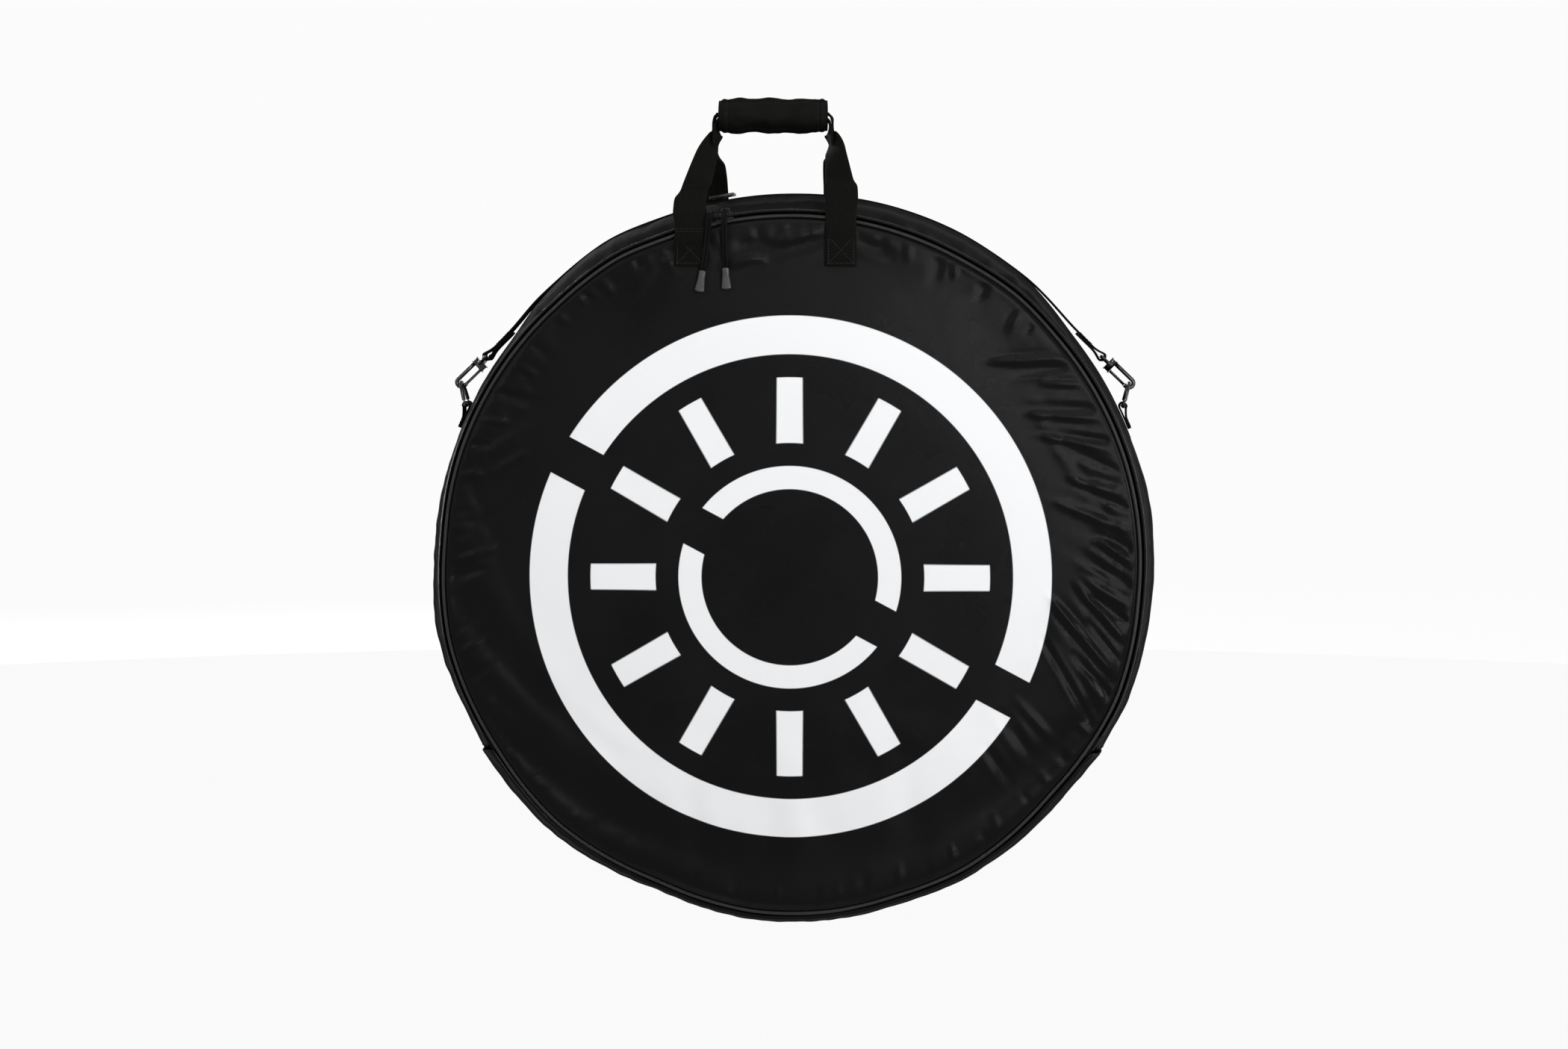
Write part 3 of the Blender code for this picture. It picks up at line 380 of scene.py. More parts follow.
@dataclass(frozen=True)
class Finish:
    """A surface: colour, gloss, texture and the record's slot.

    Attributes:
        name: the material's name.
        slot: the record's material slot.
        colour: display colour.
        light: display colour of the paler shade that it varies to.
        roughness: middle roughness.
        spread: how far the roughness varies.
        pattern: the texture.
        pitch: size of the texture, in millimetres.
        depth: height of the texture, in millimetres.
        mottle: size of the slow shade changes, in millimetres.
        coords: where the texture's coordinates come from.
        metallic: 1 for bare metal.
        specular: how strongly it mirrors light; cloth does so far less than plastic.
        settles: whether what it covers settles with the soft rim.
        dust: strength of the dust.
    """

    name: str
    slot: str
    colour: tuple[float, float, float]
    light: tuple[float, float, float]
    roughness: float = 0.6
    spread: float = 0.08
    pattern: Pattern = Pattern.WEAVE
    pitch: float = 1.0
    depth: float = 0.12
    mottle: float = 60
    coords: Coords = Coords.UV
    metallic: float = 0.0
    dust: float = 0.05
    specular: float = 0.05
    settles: bool = True

    def material(self) -> bpy.types.Material:
        """Makes the material once and gives it."""
        if self.name in bpy.data.materials:
            return bpy.data.materials[self.name]
        made = bpy.data.materials.new(self.name)
        made.use_nodes = True
        web = NodeWeb(made.node_tree)
        shader = made.node_tree.nodes["Principled BSDF"]
        for label, value in (("Metallic", self.metallic), ("Specular IOR Level", self.specular)):
            shader.inputs[label].default_value = value
        places = web.add("ShaderNodeTexCoord")
        body = places.outputs[Coords.OBJECT.value]
        colour, roughness = self.surface(web, body)
        colour, roughness = self.decorate(web, body, colour, roughness)
        if self.pattern is not Pattern.GRAIN:
            edge = web.smooth(web.add("ShaderNodeLayerWeight").outputs["Facing"], 0.40, 0.80)
            roughness = web.add("ShaderNodeMix", None,
                                {0: edge, 2: roughness, 3: FIBRE_ROUGHNESS}).outputs[0]
        web.tree.links.new(colour, shader.inputs["Base Color"])
        web.tree.links.new(roughness, shader.inputs["Roughness"])
        texture = web.group(PATTERN_GROUPS[self.pattern](), Vector=places.outputs[self.coords.value],
                            Size=self.pitch * MM)
        bump = web.add("ShaderNodeBump", None, {"Height": texture[0], "Distance": self.depth * MM,
                                                "Strength": 1.0})
        web.tree.links.new(bump.outputs[0], shader.inputs["Normal"])
        return made

    def surface(self, web: NodeWeb, body: Socket) -> tuple:
        """Makes the colour and roughness with their slow changes and dust.

        Args:
            web: the material's nodes.
            body: the Object coordinates.

        Returns:
            Sockets of the colour and of the roughness.
        """
        shades = web.group(mottle_group(), Vector=body, Size=self.mottle * MM)
        colour = web.mix_colour(shades["Shade"], srgb(*self.colour), srgb(*self.light))
        dust = web.math("MULTIPLY", shades["Dust"], self.dust)
        colour = web.mix_colour(dust, colour, DUST_COLOUR)
        low, high = self.roughness - self.spread, self.roughness + self.spread
        roughness = web.math("MULTIPLY_ADD", shades["Shade"], high - low, low)
        return colour, roughness

    def decorate(self, web: NodeWeb, body: Socket, colour: Socket,
                 roughness: Socket) -> tuple:
        """Adds scuffs to metal and leaves cloth as it is."""
        if self.metallic < 0.5:
            return colour, roughness
        marks = web.group(scuff_group(), Vector=body, Size=SCUFF_SIZE)
        wear = web.math("MULTIPLY", marks[0], SCUFF_STRENGTH)
        rougher = web.math("ADD", roughness, web.math("MULTIPLY", wear, SCUFF_ROUGHNESS))
        return web.mix_colour(wear, colour, SCUFF_COLOUR), rougher


@dataclass(frozen=True)
class PrintedFinish(Finish):
    """Cloth with the plain white print."""

    ink: Colour = (0.86, 0.87, 0.88, 1.0)

    def decorate(self, web: NodeWeb, body: Socket, colour: Socket,
                 roughness: Socket) -> tuple:
        """Lays the ink over the cloth; the ink is smoother and wears thin in fine specks."""
        centred = web.add("ShaderNodeMapping", None, {"Vector": body, "Location": (0, 0, -PRINT_HEIGHT)})
        mask = web.group(spoke_print_group(), Vector=centred.outputs[0])
        thin = web.group(mottle_group(), Vector=body, Size=INK_SPECKS)
        cover = web.math("MULTIPLY", mask[0],
                         web.math("SUBTRACT", 1.0, web.math("MULTIPLY", thin["Dust"], INK_WEAR)))
        gloss = web.add("ShaderNodeMix", None, {0: cover, 2: roughness, 3: INK_ROUGHNESS})
        return web.mix_colour(cover, colour, self.ink), gloss.outputs[0]


FIBRE_ROUGHNESS = 0.97
DUST_COLOUR = srgb(0.42, 0.41, 0.40)
SCUFF_SIZE = 7 * MM
SCUFF_STRENGTH = 0.35
SCUFF_ROUGHNESS = 0.3
SCUFF_COLOUR = srgb(0.46, 0.45, 0.44)
INK_ROUGHNESS = 0.38
INK_SPECKS = 9 * MM
INK_WEAR = 0.10
PRINT_HEIGHT = 367 * MM

NYLON = Finish("satin_nylon", "nylon_fabric", (0.024, 0.021, 0.023), (0.043, 0.036, 0.042),
               0.29, 0.05, pitch=0.9, depth=0.05, mottle=140, dust=0.01, specular=0.07)
PRINTED_NYLON = PrintedFinish(**{**vars(NYLON), "name": "printed_nylon"})
GRIP_NYLON = Finish("grip_nylon", "grip_fabric", (0.030, 0.031, 0.027), (0.050, 0.051, 0.045),
                    0.62, 0.07, pitch=1.2, depth=0.10, mottle=25, coords=Coords.OBJECT)
QUILT = Finish("quilted_padding", "divider_pad", (0.15, 0.15, 0.16), (0.19, 0.19, 0.20),
               0.86, 0.05, pitch=1.4, depth=0.15, mottle=80, coords=Coords.OBJECT)
LINING = Finish("woven_lining", "lining_fabric", (0.18, 0.18, 0.19), (0.22, 0.22, 0.23),
                0.78, 0.05, pitch=1.1, depth=0.08, mottle=90, coords=Coords.OBJECT)
PIPING = Finish("piping_cloth", "piping", (0.060, 0.060, 0.062), (0.090, 0.090, 0.093),
                0.33, 0.05, Pattern.BRAID, pitch=2.4, depth=0.12, mottle=40, specular=0.22)
ZIP_TAPE = Finish("zip_tape_weave", "zip_tape", (0.040, 0.042, 0.035), (0.062, 0.064, 0.053),
                  0.84, 0.06, Pattern.RIBS, pitch=1.0, depth=0.12, mottle=50, dust=0.03)
WEBBING = Finish("webbing_weave", "webbing", (0.036, 0.038, 0.031), (0.060, 0.062, 0.051),
                 0.82, 0.06, Pattern.RIBS, pitch=1.9, depth=0.30, mottle=45, dust=0.03)
THREAD = Finish("sewing_thread", "webbing", (0.060, 0.061, 0.055), (0.095, 0.095, 0.088),
                0.60, 0.05, Pattern.BRAID, pitch=0.8, depth=0.05, coords=Coords.OBJECT,
                specular=0.25)
TEETH = Finish("coil_teeth", "zip_teeth", (0.085, 0.085, 0.087), (0.125, 0.125, 0.127),
               0.34, 0.06, Pattern.GRAIN, pitch=0.6, depth=0.02, coords=Coords.OBJECT,
               specular=0.4)
METAL = Finish("black_plated_metal", "dark_metal", (0.17, 0.17, 0.175), (0.24, 0.24, 0.245),
               0.30, 0.06, Pattern.GRAIN, pitch=0.8, depth=0.015, mottle=12,
               coords=Coords.OBJECT, metallic=1.0, settles=False)
CORD = Finish("braided_cord", "pull_cord", (0.045, 0.045, 0.044), (0.075, 0.075, 0.072),
              0.76, 0.06, Pattern.BRAID, pitch=2.2, depth=0.25, mottle=20, settles=False)
GREY_TIP = Finish("grey_moulding", "grey_tip", (0.13, 0.13, 0.135), (0.19, 0.19, 0.195),
                  0.42, 0.06, Pattern.GRAIN, pitch=0.7, depth=0.03, mottle=9,
                  coords=Coords.OBJECT, specular=0.4, settles=False)
PLASTIC = Finish("black_moulding", "black_plastic", (0.064, 0.064, 0.066), (0.092, 0.092, 0.094),
                 0.40, 0.06, Pattern.GRAIN, pitch=0.9, depth=0.04, mottle=30,
                 coords=Coords.OBJECT, specular=0.35)


# --- bag's sizes


@dataclass(frozen=True)
class BagSizes:
    """The part's own values, in metres and degrees."""

    outer_radius: float = 380 * MM
    centre: float = 377.5 * MM
    panel_radius: float = 362 * MM
    panel_face: float = 76 * MM
    crown: float = 9 * MM
    tape_inner: float = 369 * MM
    tape_outer: float = 370 * MM
    teeth_base: float = 370.3 * MM
    teeth_top: float = 372.5 * MM
    front_tape_edge: float = -69 * MM
    zip_line: float = -57.9 * MM
    rear_tape_edge: float = -46.8 * MM
    gusset_back: float = 69 * MM
    hem_radius: float = 368.7 * MM
    zip_end: float = 181.96 * MM
    fold: float = 199.96 * MM
    fold_gap: float = 1 * MM
    hinge_y: float = -85 * MM
    lining_inner: float = 367.7 * MM

    def rim(self, radius: float, angle: float, y: float = 0.0) -> Vector:
        """The point at a radius and an angle from +X, seen from the front."""
        turn = radians(angle)
        return Vector((radius * cos(turn), y, self.centre + radius * sin(turn)))

    def face(self, radius: float) -> float:
        """Distance of a panel's outer face from the bag's middle, at a radius."""
        return self.panel_face + self.crown * (1 - min(radius / self.panel_radius, 1.0) ** 4)

    def gusset(self, y: float, front: float) -> float:
        """Outer radius of the gusset at a place across it."""
        middle, half = (front + self.gusset_back) / 2, (self.gusset_back - front) / 2
        share = min(abs(y - middle) / half, 1.0)
        return self.hem_radius + (self.outer_radius - self.hem_radius) * (1 - share ** 3) ** (1 / 3)


BAG = BagSizes()
SIDES = (("left", -1), ("right", 1))
FRONT = "front"  # what bends at the fold, between the root and the flap
HINGE_START = (0.0, BAG.hinge_y, BAG.fold - 12 * MM)
HINGE_END = (0.0, BAG.hinge_y, BAG.fold + 12 * MM)


# --- mesh making


def placed(name: str, data: bpy.types.ID) -> Obj:
    """Makes an object of a mesh, a lamp or a camera and puts it in the scene."""
    obj = bpy.data.objects.new(name, data)
    bpy.context.scene.collection.objects.link(obj)
    return obj


def mesh_of(name: str, bm: bmesh.types.BMesh) -> bpy.types.Mesh:
    """Makes a mesh of what has been drawn, with smooth faces."""
    mesh = bpy.data.meshes.new(name)
    bm.to_mesh(mesh)
    bm.free()
    mesh.shade_smooth()
    return mesh


def dressed(obj: Obj, finish: Finish) -> Obj:
    """Gives an object its material and its slot in the record.

    Args:
        obj: the piece.
        finish: its surface.

    Returns:
        The same piece.
    """
    if finish.settles:
        relax(obj.data)
    obj.data.materials.clear()
    obj.data.materials.append(finish.material())
    obj.data.shade_smooth()
    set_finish(obj, finish.slot)
    return obj


# Where the soft rim has settled: degrees round the bag, and millimetres out of the true circle
SLACK = ((-60, 0), (-41, -4.5), (-22, 1.5), (-5, -1.5), (16, 0), (42, 0), (50, 2), (60, 0), (112, 0),
         (119, 3), (131, 0), (162, 0), (176, -2), (193, 2), (212, -1.5), (228, 0.5), (247, -5.5), (264, 0),
         (277, 0), (288, -2.5), (300, 0))
SLACK_STARTS = (0.24, 0.362)
# How far the gusset between its seams puffs out: degrees, and millimetres
PUFF = ((-60, 0), (-45, 1.5), (-25, 2.5), (0, 3), (13, 2.5), (19, 0), (39, 0), (49, 5), (63, 9), (77, 9),
        (89, 8), (101, 8), (112, 9), (124, 9), (134, 6), (141, 0), (161, 0), (168, 3), (185, 5.5),
        (208, 5), (232, 3), (246, 0), (300, 0))
PUFF_STARTS = (0.3725, 0.3795)
PUFF_ENDS = (0.390, 0.410)
PUFF_BACK = 74 * MM
PUFF_BACK_FADE = 40 * MM


def mesh_places(mesh: bpy.types.Mesh) -> np.ndarray:
    """The places of a mesh's points, a row for each."""
    places = np.empty(len(mesh.vertices) * 3)
    mesh.vertices.foreach_get("co", places)
    return places.reshape(-1, 3)


def move_to(mesh: bpy.types.Mesh, places: np.ndarray) -> None:
    """Puts a mesh's points at new places."""
    mesh.vertices.foreach_set("co", places.ravel())
    mesh.update()


def relax(mesh: bpy.types.Mesh) -> None:
    """Moves a mesh's points out or in, as far as the soft rim stands off a true circle there."""
    places = mesh_places(mesh)
    across, up = places[:, 0], places[:, 2] - BAG.centre
    radius = np.maximum(np.hypot(across, up), 1e-9)
    angle = (np.degrees(np.arctan2(up, across)) + 60) % 360 - 60
    fine = np.linspace(-60, 300, 1441)
    spread = np.hanning(35)[1:-1] / np.hanning(35).sum()
    grow = 0.0
    for table, (low, high) in ((SLACK, SLACK_STARTS), (PUFF, PUFF_STARTS)):
        values = np.pad(np.interp(fine, *zip(*table)), 16, mode="wrap") * MM
        share = np.clip((radius - low) / (high - low), 0, 1)
        if table is PUFF:
            share *= np.clip((PUFF_ENDS[1] - radius) / (PUFF_ENDS[1] - PUFF_ENDS[0]), 0, 1)
            share *= np.clip((PUFF_BACK - places[:, 1]) / PUFF_BACK_FADE, 0, 1)
        values = np.interp(angle, fine, np.convolve(values, spread, "valid"))
        grow = grow + values * share ** 2 * (3 - 2 * share) / radius
    places[:, 0] += across * grow
    places[:, 2] += up * grow
    move_to(mesh, places)


def settle(obj: Obj) -> Obj:
    """Turns what the modifiers make into the object's own mesh, and removes them."""
    made = bpy.data.meshes.new_from_object(obj.evaluated_get(bpy.context.evaluated_depsgraph_get()))
    obj.modifiers.clear()
    obj.data = made
    return obj


def grid_object(name: str, rows: Sequence[Sequence[Vector]], finish: Finish,
                uv: Callable[[int, int], tuple[float, float]], closed: bool = False,
                caps: bool = False) -> Obj:
    """Makes a mesh of a grid of points.

    Args:
        name: the piece's name.
        rows: rows of points, all of one length.
        finish: its surface.
        uv: gives a corner's UV place, in metres, from its row and column.
        closed: whether each row is a closed ring.
        caps: whether the first and last rows are filled.

    Returns:
        The new piece.
    """
    bm = bmesh.new()
    layer = bm.loops.layers.uv.new("UVMap")
    grid = [[bm.verts.new(point) for point in row] for row in rows]
    columns = len(grid[0])
    for i in range(len(grid) - 1):
        for j in range(columns if closed else columns - 1):
            k = (j + 1) % columns
            face = bm.faces.new((grid[i][j], grid[i][k], grid[i + 1][k], grid[i + 1][j]))
            for loop, place in zip(face.loops, ((i, j), (i, j + 1), (i + 1, j + 1), (i + 1, j))):
                loop[layer].uv = uv(*place)
    if caps:
        bm.faces.new(grid[0])
        bm.faces.new(grid[-1])
    return finished(name, bm, finish)


def face_outward(bm: bmesh.types.BMesh) -> None:
    """Turns a mesh's faces the same way, and a closed mesh's outwards."""
    bmesh.ops.recalc_face_normals(bm, faces=bm.faces)
    if all(edge.is_manifold for edge in bm.edges) and bm.calc_volume(signed=True) < 0:
        bmesh.ops.reverse_faces(bm, faces=bm.faces)


def finished(name: str, bm: bmesh.types.BMesh, finish: Finish) -> Obj:
    """Turns a mesh's faces outwards and makes its object.

    Args:
        name: the piece's name.
        bm: its mesh.
        finish: its surface.

    Returns:
        The new piece.
    """
    face_outward(bm)
    return dressed(placed(name, mesh_of(name, bm)), finish)


def seat(piece: Obj, body: str, *nodes: str, fill: Optional[float] = None) -> Obj:
    """Joins a piece to its body and puts it in place of CAD nodes.

    Args:
        piece: the new piece.
        body: the body it rides, or FRONT for one that bends at the front's fold.
        nodes: the nodes it stands for.
        fill: not used.

    Returns:
        The same piece.
    """
    if body == FRONT:
        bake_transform(piece, "root", "flap", HINGE_START, HINGE_END)
    else:
        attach(piece, body)
    if nodes:
        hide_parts(*nodes)
    return piece


def flipped(place: Vector, sign: int) -> Vector:
    """Mirrors a place or a direction to the left side where the sign is -1."""
    return Vector((sign * place.x, place.y, place.z))


def outward(place: Vector) -> Vector:
    """Direction at a place away from the line through the panels' middles."""
    return Vector((place.x, 0, place.z - BAG.centre)).normalized()


def ripple(point: Vector, size: float, seed: float = 0.0) -> float:
    """Smooth noise from -1 to 1 at a point, with ripples of a width; the seed moves them."""
    return noise.noise(Vector((point.x / size + seed * 7.3, point.y / size - seed, point.z / size + seed)))


def smoothstep(value: float, low: float, high: float) -> float:
    """Turns a value into 0 to 1 between two levels, smoothly."""
    t = min(max((value - low) / (high - low), 0.0), 1.0)
    return t * t * (3 - 2 * t)


def smooth_route(knots: Sequence[Vector], count: int) -> list[Vector]:
    """Points on a smooth curve through the knots, as in the part."""
    result, spans = [], len(knots) - 1
    for step in range(count + 1):
        place = step / count * spans
        index = min(int(place), spans - 1)
        t = place - index
        p0, p3 = knots[max(index - 1, 0)], knots[min(index + 2, spans)]
        p1, p2 = knots[index], knots[index + 1]
        parts = (p1 * 2, (p2 - p0) * t, (p0 * 2 - p1 * 5 + p2 * 4 - p3) * t ** 2,
                 (p1 * 3 - p0 - p2 * 3 + p3) * t ** 3)
        result.append(sum(parts, Vector(p1 * 0)) / 2)
    return result


def directions(points: Sequence[Vector], closed: bool = False) -> list[Vector]:
    """Directions along a row of points."""
    before = [points[-1 if closed else 0], *points[:-1]]
    after = [*points[1:], points[0 if closed else -1]]
    return [(b - a).normalized() for a, b in zip(before, after)]


def distances(points: Sequence[Vector]) -> list[float]:
    """Distance of each point from the first, along the row."""
    found = [0.0]
    for before, after in zip(points, points[1:]):
        found.append(found[-1] + (after - before).length)
    return found


def tube(name: str, points: Sequence[Vector], diameter: float, finish: Finish, sides: int = 12,
         closed: bool = False, upright: Vector = DEPTH,
         lumps: float = 0.0) -> Obj:
    """A round cord or wire along points.

    Args:
        name: the piece's name.
        points: its middle line.
        diameter: its thickness.
        finish: its surface.
        sides: corners of its section.
        closed: whether it is a ring.
        upright: a direction that the line never runs along.
        lumps: how unevenly it lies, in metres.

    Returns:
        The new piece.
    """
    along = directions(points, closed)
    rows, lengths = [], distances(points + points[:1] if closed else points)
    for i, point in enumerate(points):
        side = along[i].cross(upright).normalized()
        other = along[i].cross(side).normalized()
        half = diameter / 2 + lumps * ripple(point, 22 * MM)
        turns = [tau * k / sides for k in range(sides)]
        rows.append([point + (side * cos(turn) + other * sin(turn)) * half for turn in turns])
    around = pi * diameter / sides
    if closed:
        rows.append(rows[0])
    made = grid_object(name, rows, finish, lambda i, j: (j * around, lengths[i]), closed=True,
                       caps=not closed)
    if closed:
        weld(made)
    return made


def weld(obj: Obj) -> None:
    """Joins points that lie on each other."""
    bm = bmesh.new()
    bm.from_mesh(obj.data)
    bmesh.ops.remove_doubles(bm, verts=bm.verts, dist=0.01 * MM)
    face_outward(bm)
    bm.to_mesh(obj.data)
    bm.free()


# Section of a webbing: share across, and share of the half thickness
WEB_SECTION = ((-1.0, 0.30), (-0.97, 0.80), (-0.90, 1.0), (-0.6, 0.94), (-0.3, 1.0), (0.0, 0.95),
               (0.3, 1.0), (0.6, 0.94), (0.90, 1.0), (0.97, 0.80), (1.0, 0.30))


@dataclass(frozen=True)
class Knot:
    """A place on a webbing's route, with its width direction and width."""

    place: Vector
    across: Vector
    width: float


def webbing(name: str, route: Sequence[Knot], thickness: float, count: int,
            finish: Finish) -> Obj:
    """A webbing strap along a route, as in the part, with rounded edges.

    Args:
        name: the piece's name.
        route: its knots.
        thickness: its thickness.
        count: steps along it.
        finish: its surface.

    Returns:
        The new piece.
    """
    knots = [Vector(tuple(k.place) + tuple(k.across * k.width)) for k in route]
    samples = smooth_route(knots, count)
    points = [Vector(s[:3]) for s in samples]
    along, lengths = directions(points), distances(points)
    rows, width = [], route[0].width
    for i, point in enumerate(points):
        across = Vector(samples[i][3:])
        half = across.length / 2
        across = (across - along[i] * across.dot(along[i])).normalized()
        normal = along[i].cross(across).normalized() * thickness / 2
        top = [point + across * half * x + normal * y for x, y in WEB_SECTION]
        low = [point + across * half * x - normal * y for x, y in reversed(WEB_SECTION)]
        rows.append(top + low)
    shares = [x for x, _ in WEB_SECTION]
    shares += shares[::-1] + shares[:1]
    return grid_object(name, rows, finish, lambda i, j: (shares[j] * width / 2, lengths[i]),
                       closed=True, caps=True)


# --- runs of small pieces


def bead_tree() -> Tree:
    """Geometry nodes that lay small rounded pieces along a path."""
    def fill(web: NodeWeb, given: dict) -> dict:
        """Turns each piece along the path and away from the bag."""
        line = web.add("GeometryNodeMeshToCurve", None, {"Mesh": given["Path"]})
        marks = web.add("GeometryNodeCurveToPoints", {"mode": "LENGTH"},
                        {"Curve": line.outputs[0], "Length": given["Spacing"]})
        away = web.add("GeometryNodeInputNamedAttribute", {"data_type": "FLOAT_VECTOR"}, {"Name": "outward"})
        turned = web.add("FunctionNodeAlignRotationToVector", {"axis": "X"},
                         {"Vector": marks.outputs["Tangent"]})
        turned = web.add("FunctionNodeAlignRotationToVector", {"axis": "Z", "pivot_axis": "X"},
                         {"Rotation": turned.outputs[0], "Vector": away.outputs[0]})
        bead = web.add("GeometryNodeMeshUVSphere", None,
                       {"Segments": given["Sides"], "Rings": 4, "Radius": 0.5})
        placed = web.add("GeometryNodeInstanceOnPoints", None, {
            "Points": marks.outputs["Points"], "Instance": bead.outputs["Mesh"],
            "Rotation": turned.outputs[0], "Scale": given["Bead Size"]})
        real = web.add("GeometryNodeRealizeInstances", None, {0: placed.outputs[0]})
        painted = web.add("GeometryNodeSetMaterial", None, {"Geometry": real.outputs[0],
                                                            "Material": given["Finish"]})
        return {"Beads": painted.outputs[0]}
    inputs = (("Path", "NodeSocketGeometry"), ("Spacing", "NodeSocketFloat"),
              ("Bead Size", "NodeSocketVector"), ("Sides", "NodeSocketInt"), ("Finish", "NodeSocketMaterial"))
    return make_group("beads_along_path", inputs, ["Beads"], fill, "Geometry", "NodeSocketGeometry")


@dataclass(frozen=True)
class BeadRun:
    """Small rounded pieces in rows, such as stitches or zip teeth.

    Attributes:
        spacing: distance from one to the next.
        size: length, width and height of one.
        finish: their surface.
        sides: corners round one.
    """

    spacing: float
    size: tuple[float, float, float]
    finish: Finish
    sides: int = 6

    def lay(self, name: str, paths: Sequence[Path]) -> Obj:
        """Lays the pieces along paths.

        Args:
            name: the new piece's name.
            paths: rows of places, each with its outward direction.

        Returns:
            One mesh with all the pieces.
        """
        points, edges = [], []
        for path in paths:
            edges += [(len(points) + i, len(points) + i + 1) for i in range(len(path) - 1)]
            points += [place for place, _ in path]
        mesh = bpy.data.meshes.new(name)
        mesh.from_pydata(points, edges, [])
        away = mesh.attributes.new("outward", "FLOAT_VECTOR", "POINT")
        away.data.foreach_set("vector", [v for path in paths for _, n in path for v in n])
        obj = placed(name, mesh)
        modifier = obj.modifiers.new("beads", "NODES")
        modifier.node_group = bead_tree()
        values = {"Spacing": self.spacing, "Bead Size": self.size, "Sides": self.sides,
                  "Finish": self.finish.material()}
        for item in modifier.node_group.interface.items_tree:
            if item.name in values and item.in_out == "INPUT":
                modifier[item.identifier] = values[item.name]
        settle(obj)
        relax(obj.data)
        obj.data.shade_smooth()
        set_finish(obj, self.finish.slot)
        return obj


STITCHES = BeadRun(3.6 * MM, (3.0 * MM, 0.75 * MM, 0.55 * MM), THREAD)
BOX_STITCHES = BeadRun(3.0 * MM, (2.5 * MM, 0.8 * MM, 0.6 * MM), THREAD)
COIL = BeadRun(1.75 * MM, (1.25 * MM, 2.7 * MM, 2.0 * MM), TEETH, 8)
RIM_STEPS = 240


def rim_path(radius: float, y: float, low: float, high: float) -> Path:
    """A path round the rim between two angles, with its outward directions."""
    places = [BAG.rim(radius, low + (high - low) * i / RIM_STEPS, y) for i in range(RIM_STEPS + 1)]
    return [(place, outward(place)) for place in places]


def sewn(lines: Sequence[Ends], at: Callable[[float, float], tuple[Vector, Vector]],
         steps: int) -> list[Path]:
    """Paths for straight lines of stitches.

    Args:
        lines: the two ends of each, in the seam's own measures.
        at: gives the place and its outward direction from those measures.
        steps: steps along each line.

    Returns:
        A path for each line.
    """
    return [[at(a0 + (a1 - a0) * t / steps, b0 + (b1 - b0) * t / steps) for t in range(steps + 1)]
            for (a0, b0), (a1, b1) in lines]


def box_lines(half: float, low: float, high: float) -> list[Ends]:
    """The sides of a sewn box and the cross in it."""
    corners = [(-half, low), (half, low), (half, high), (-half, high), (-half, low)]
    return list(zip(corners, corners[1:])) + [((-half, low), (half, high)), ((half, low), (-half, high))]


def rim_angle_at(height: float, radius: float) -> float:
    """Angle below the middle at which a rim of this radius reaches a height."""
    return degrees(asin((height - BAG.centre) / radius))


# --- padded panels


@dataclass(frozen=True)
class Fold:
    """A crease in the cloth between two places on a panel.

    Attributes:
        start: place across and height, in metres, of one end.
        end: the other end.
        width: half width of the crease.
        rise: how far it stands out; less than zero for a dent.
    """

    start: tuple[float, float]
    end: tuple[float, float]
    width: float
    rise: float

    def lift(self, x: np.ndarray, z: np.ndarray) -> np.ndarray:
        """How far the crease lifts the cloth at each of many places."""
        ax, az = self.start
        dx, dz = self.end[0] - ax, self.end[1] - az
        share = np.clip(((x - ax) * dx + (z - az) * dz) / (dx * dx + dz * dz), 0.0, 1.0)
        away = np.hypot(x - ax - dx * share, z - az - dz * share) / self.width
        taper = np.sin(np.pi * np.clip(share, 0.04, 0.96)) ** 0.6
        return self.rise * taper * (1 - 1.2 * away ** 2) * np.exp(-away ** 2)


def fold_fan(low: float, high: float, count: int, reach: float, width: float, rise: float,
             slant: float, seed: int) -> list[Fold]:
    """Creases that fan in from the rim.

    Args:
        low: angle of the first.
        high: angle of the last.
        count: how many.
        reach: their middle length.
        width: their half width.
        rise: their height.
        slant: how far they lean from the radius, in degrees.
        seed: of the random draws.

    Returns:
        The creases.
    """
    draws = np.random.default_rng(seed)
    made = []
    for i in range(count):
        angle = low + (high - low) * (i + draws.uniform(-0.3, 0.3)) / max(count - 1, 1)
        length = reach * draws.uniform(0.55, 1.45)
        lean = slant * draws.uniform(0.65, 1.25)
        outer = BAG.rim(BAG.panel_radius - 5 * MM, angle)
        inner = BAG.rim(BAG.panel_radius - length, angle + lean * length / BAG.panel_radius)
        made.append(Fold((outer.x, outer.z), (inner.x, inner.z), width * draws.uniform(0.7, 1.4),
                         rise * draws.uniform(0.6, 1.3) * (1 if i % 2 else -1)))
    return made


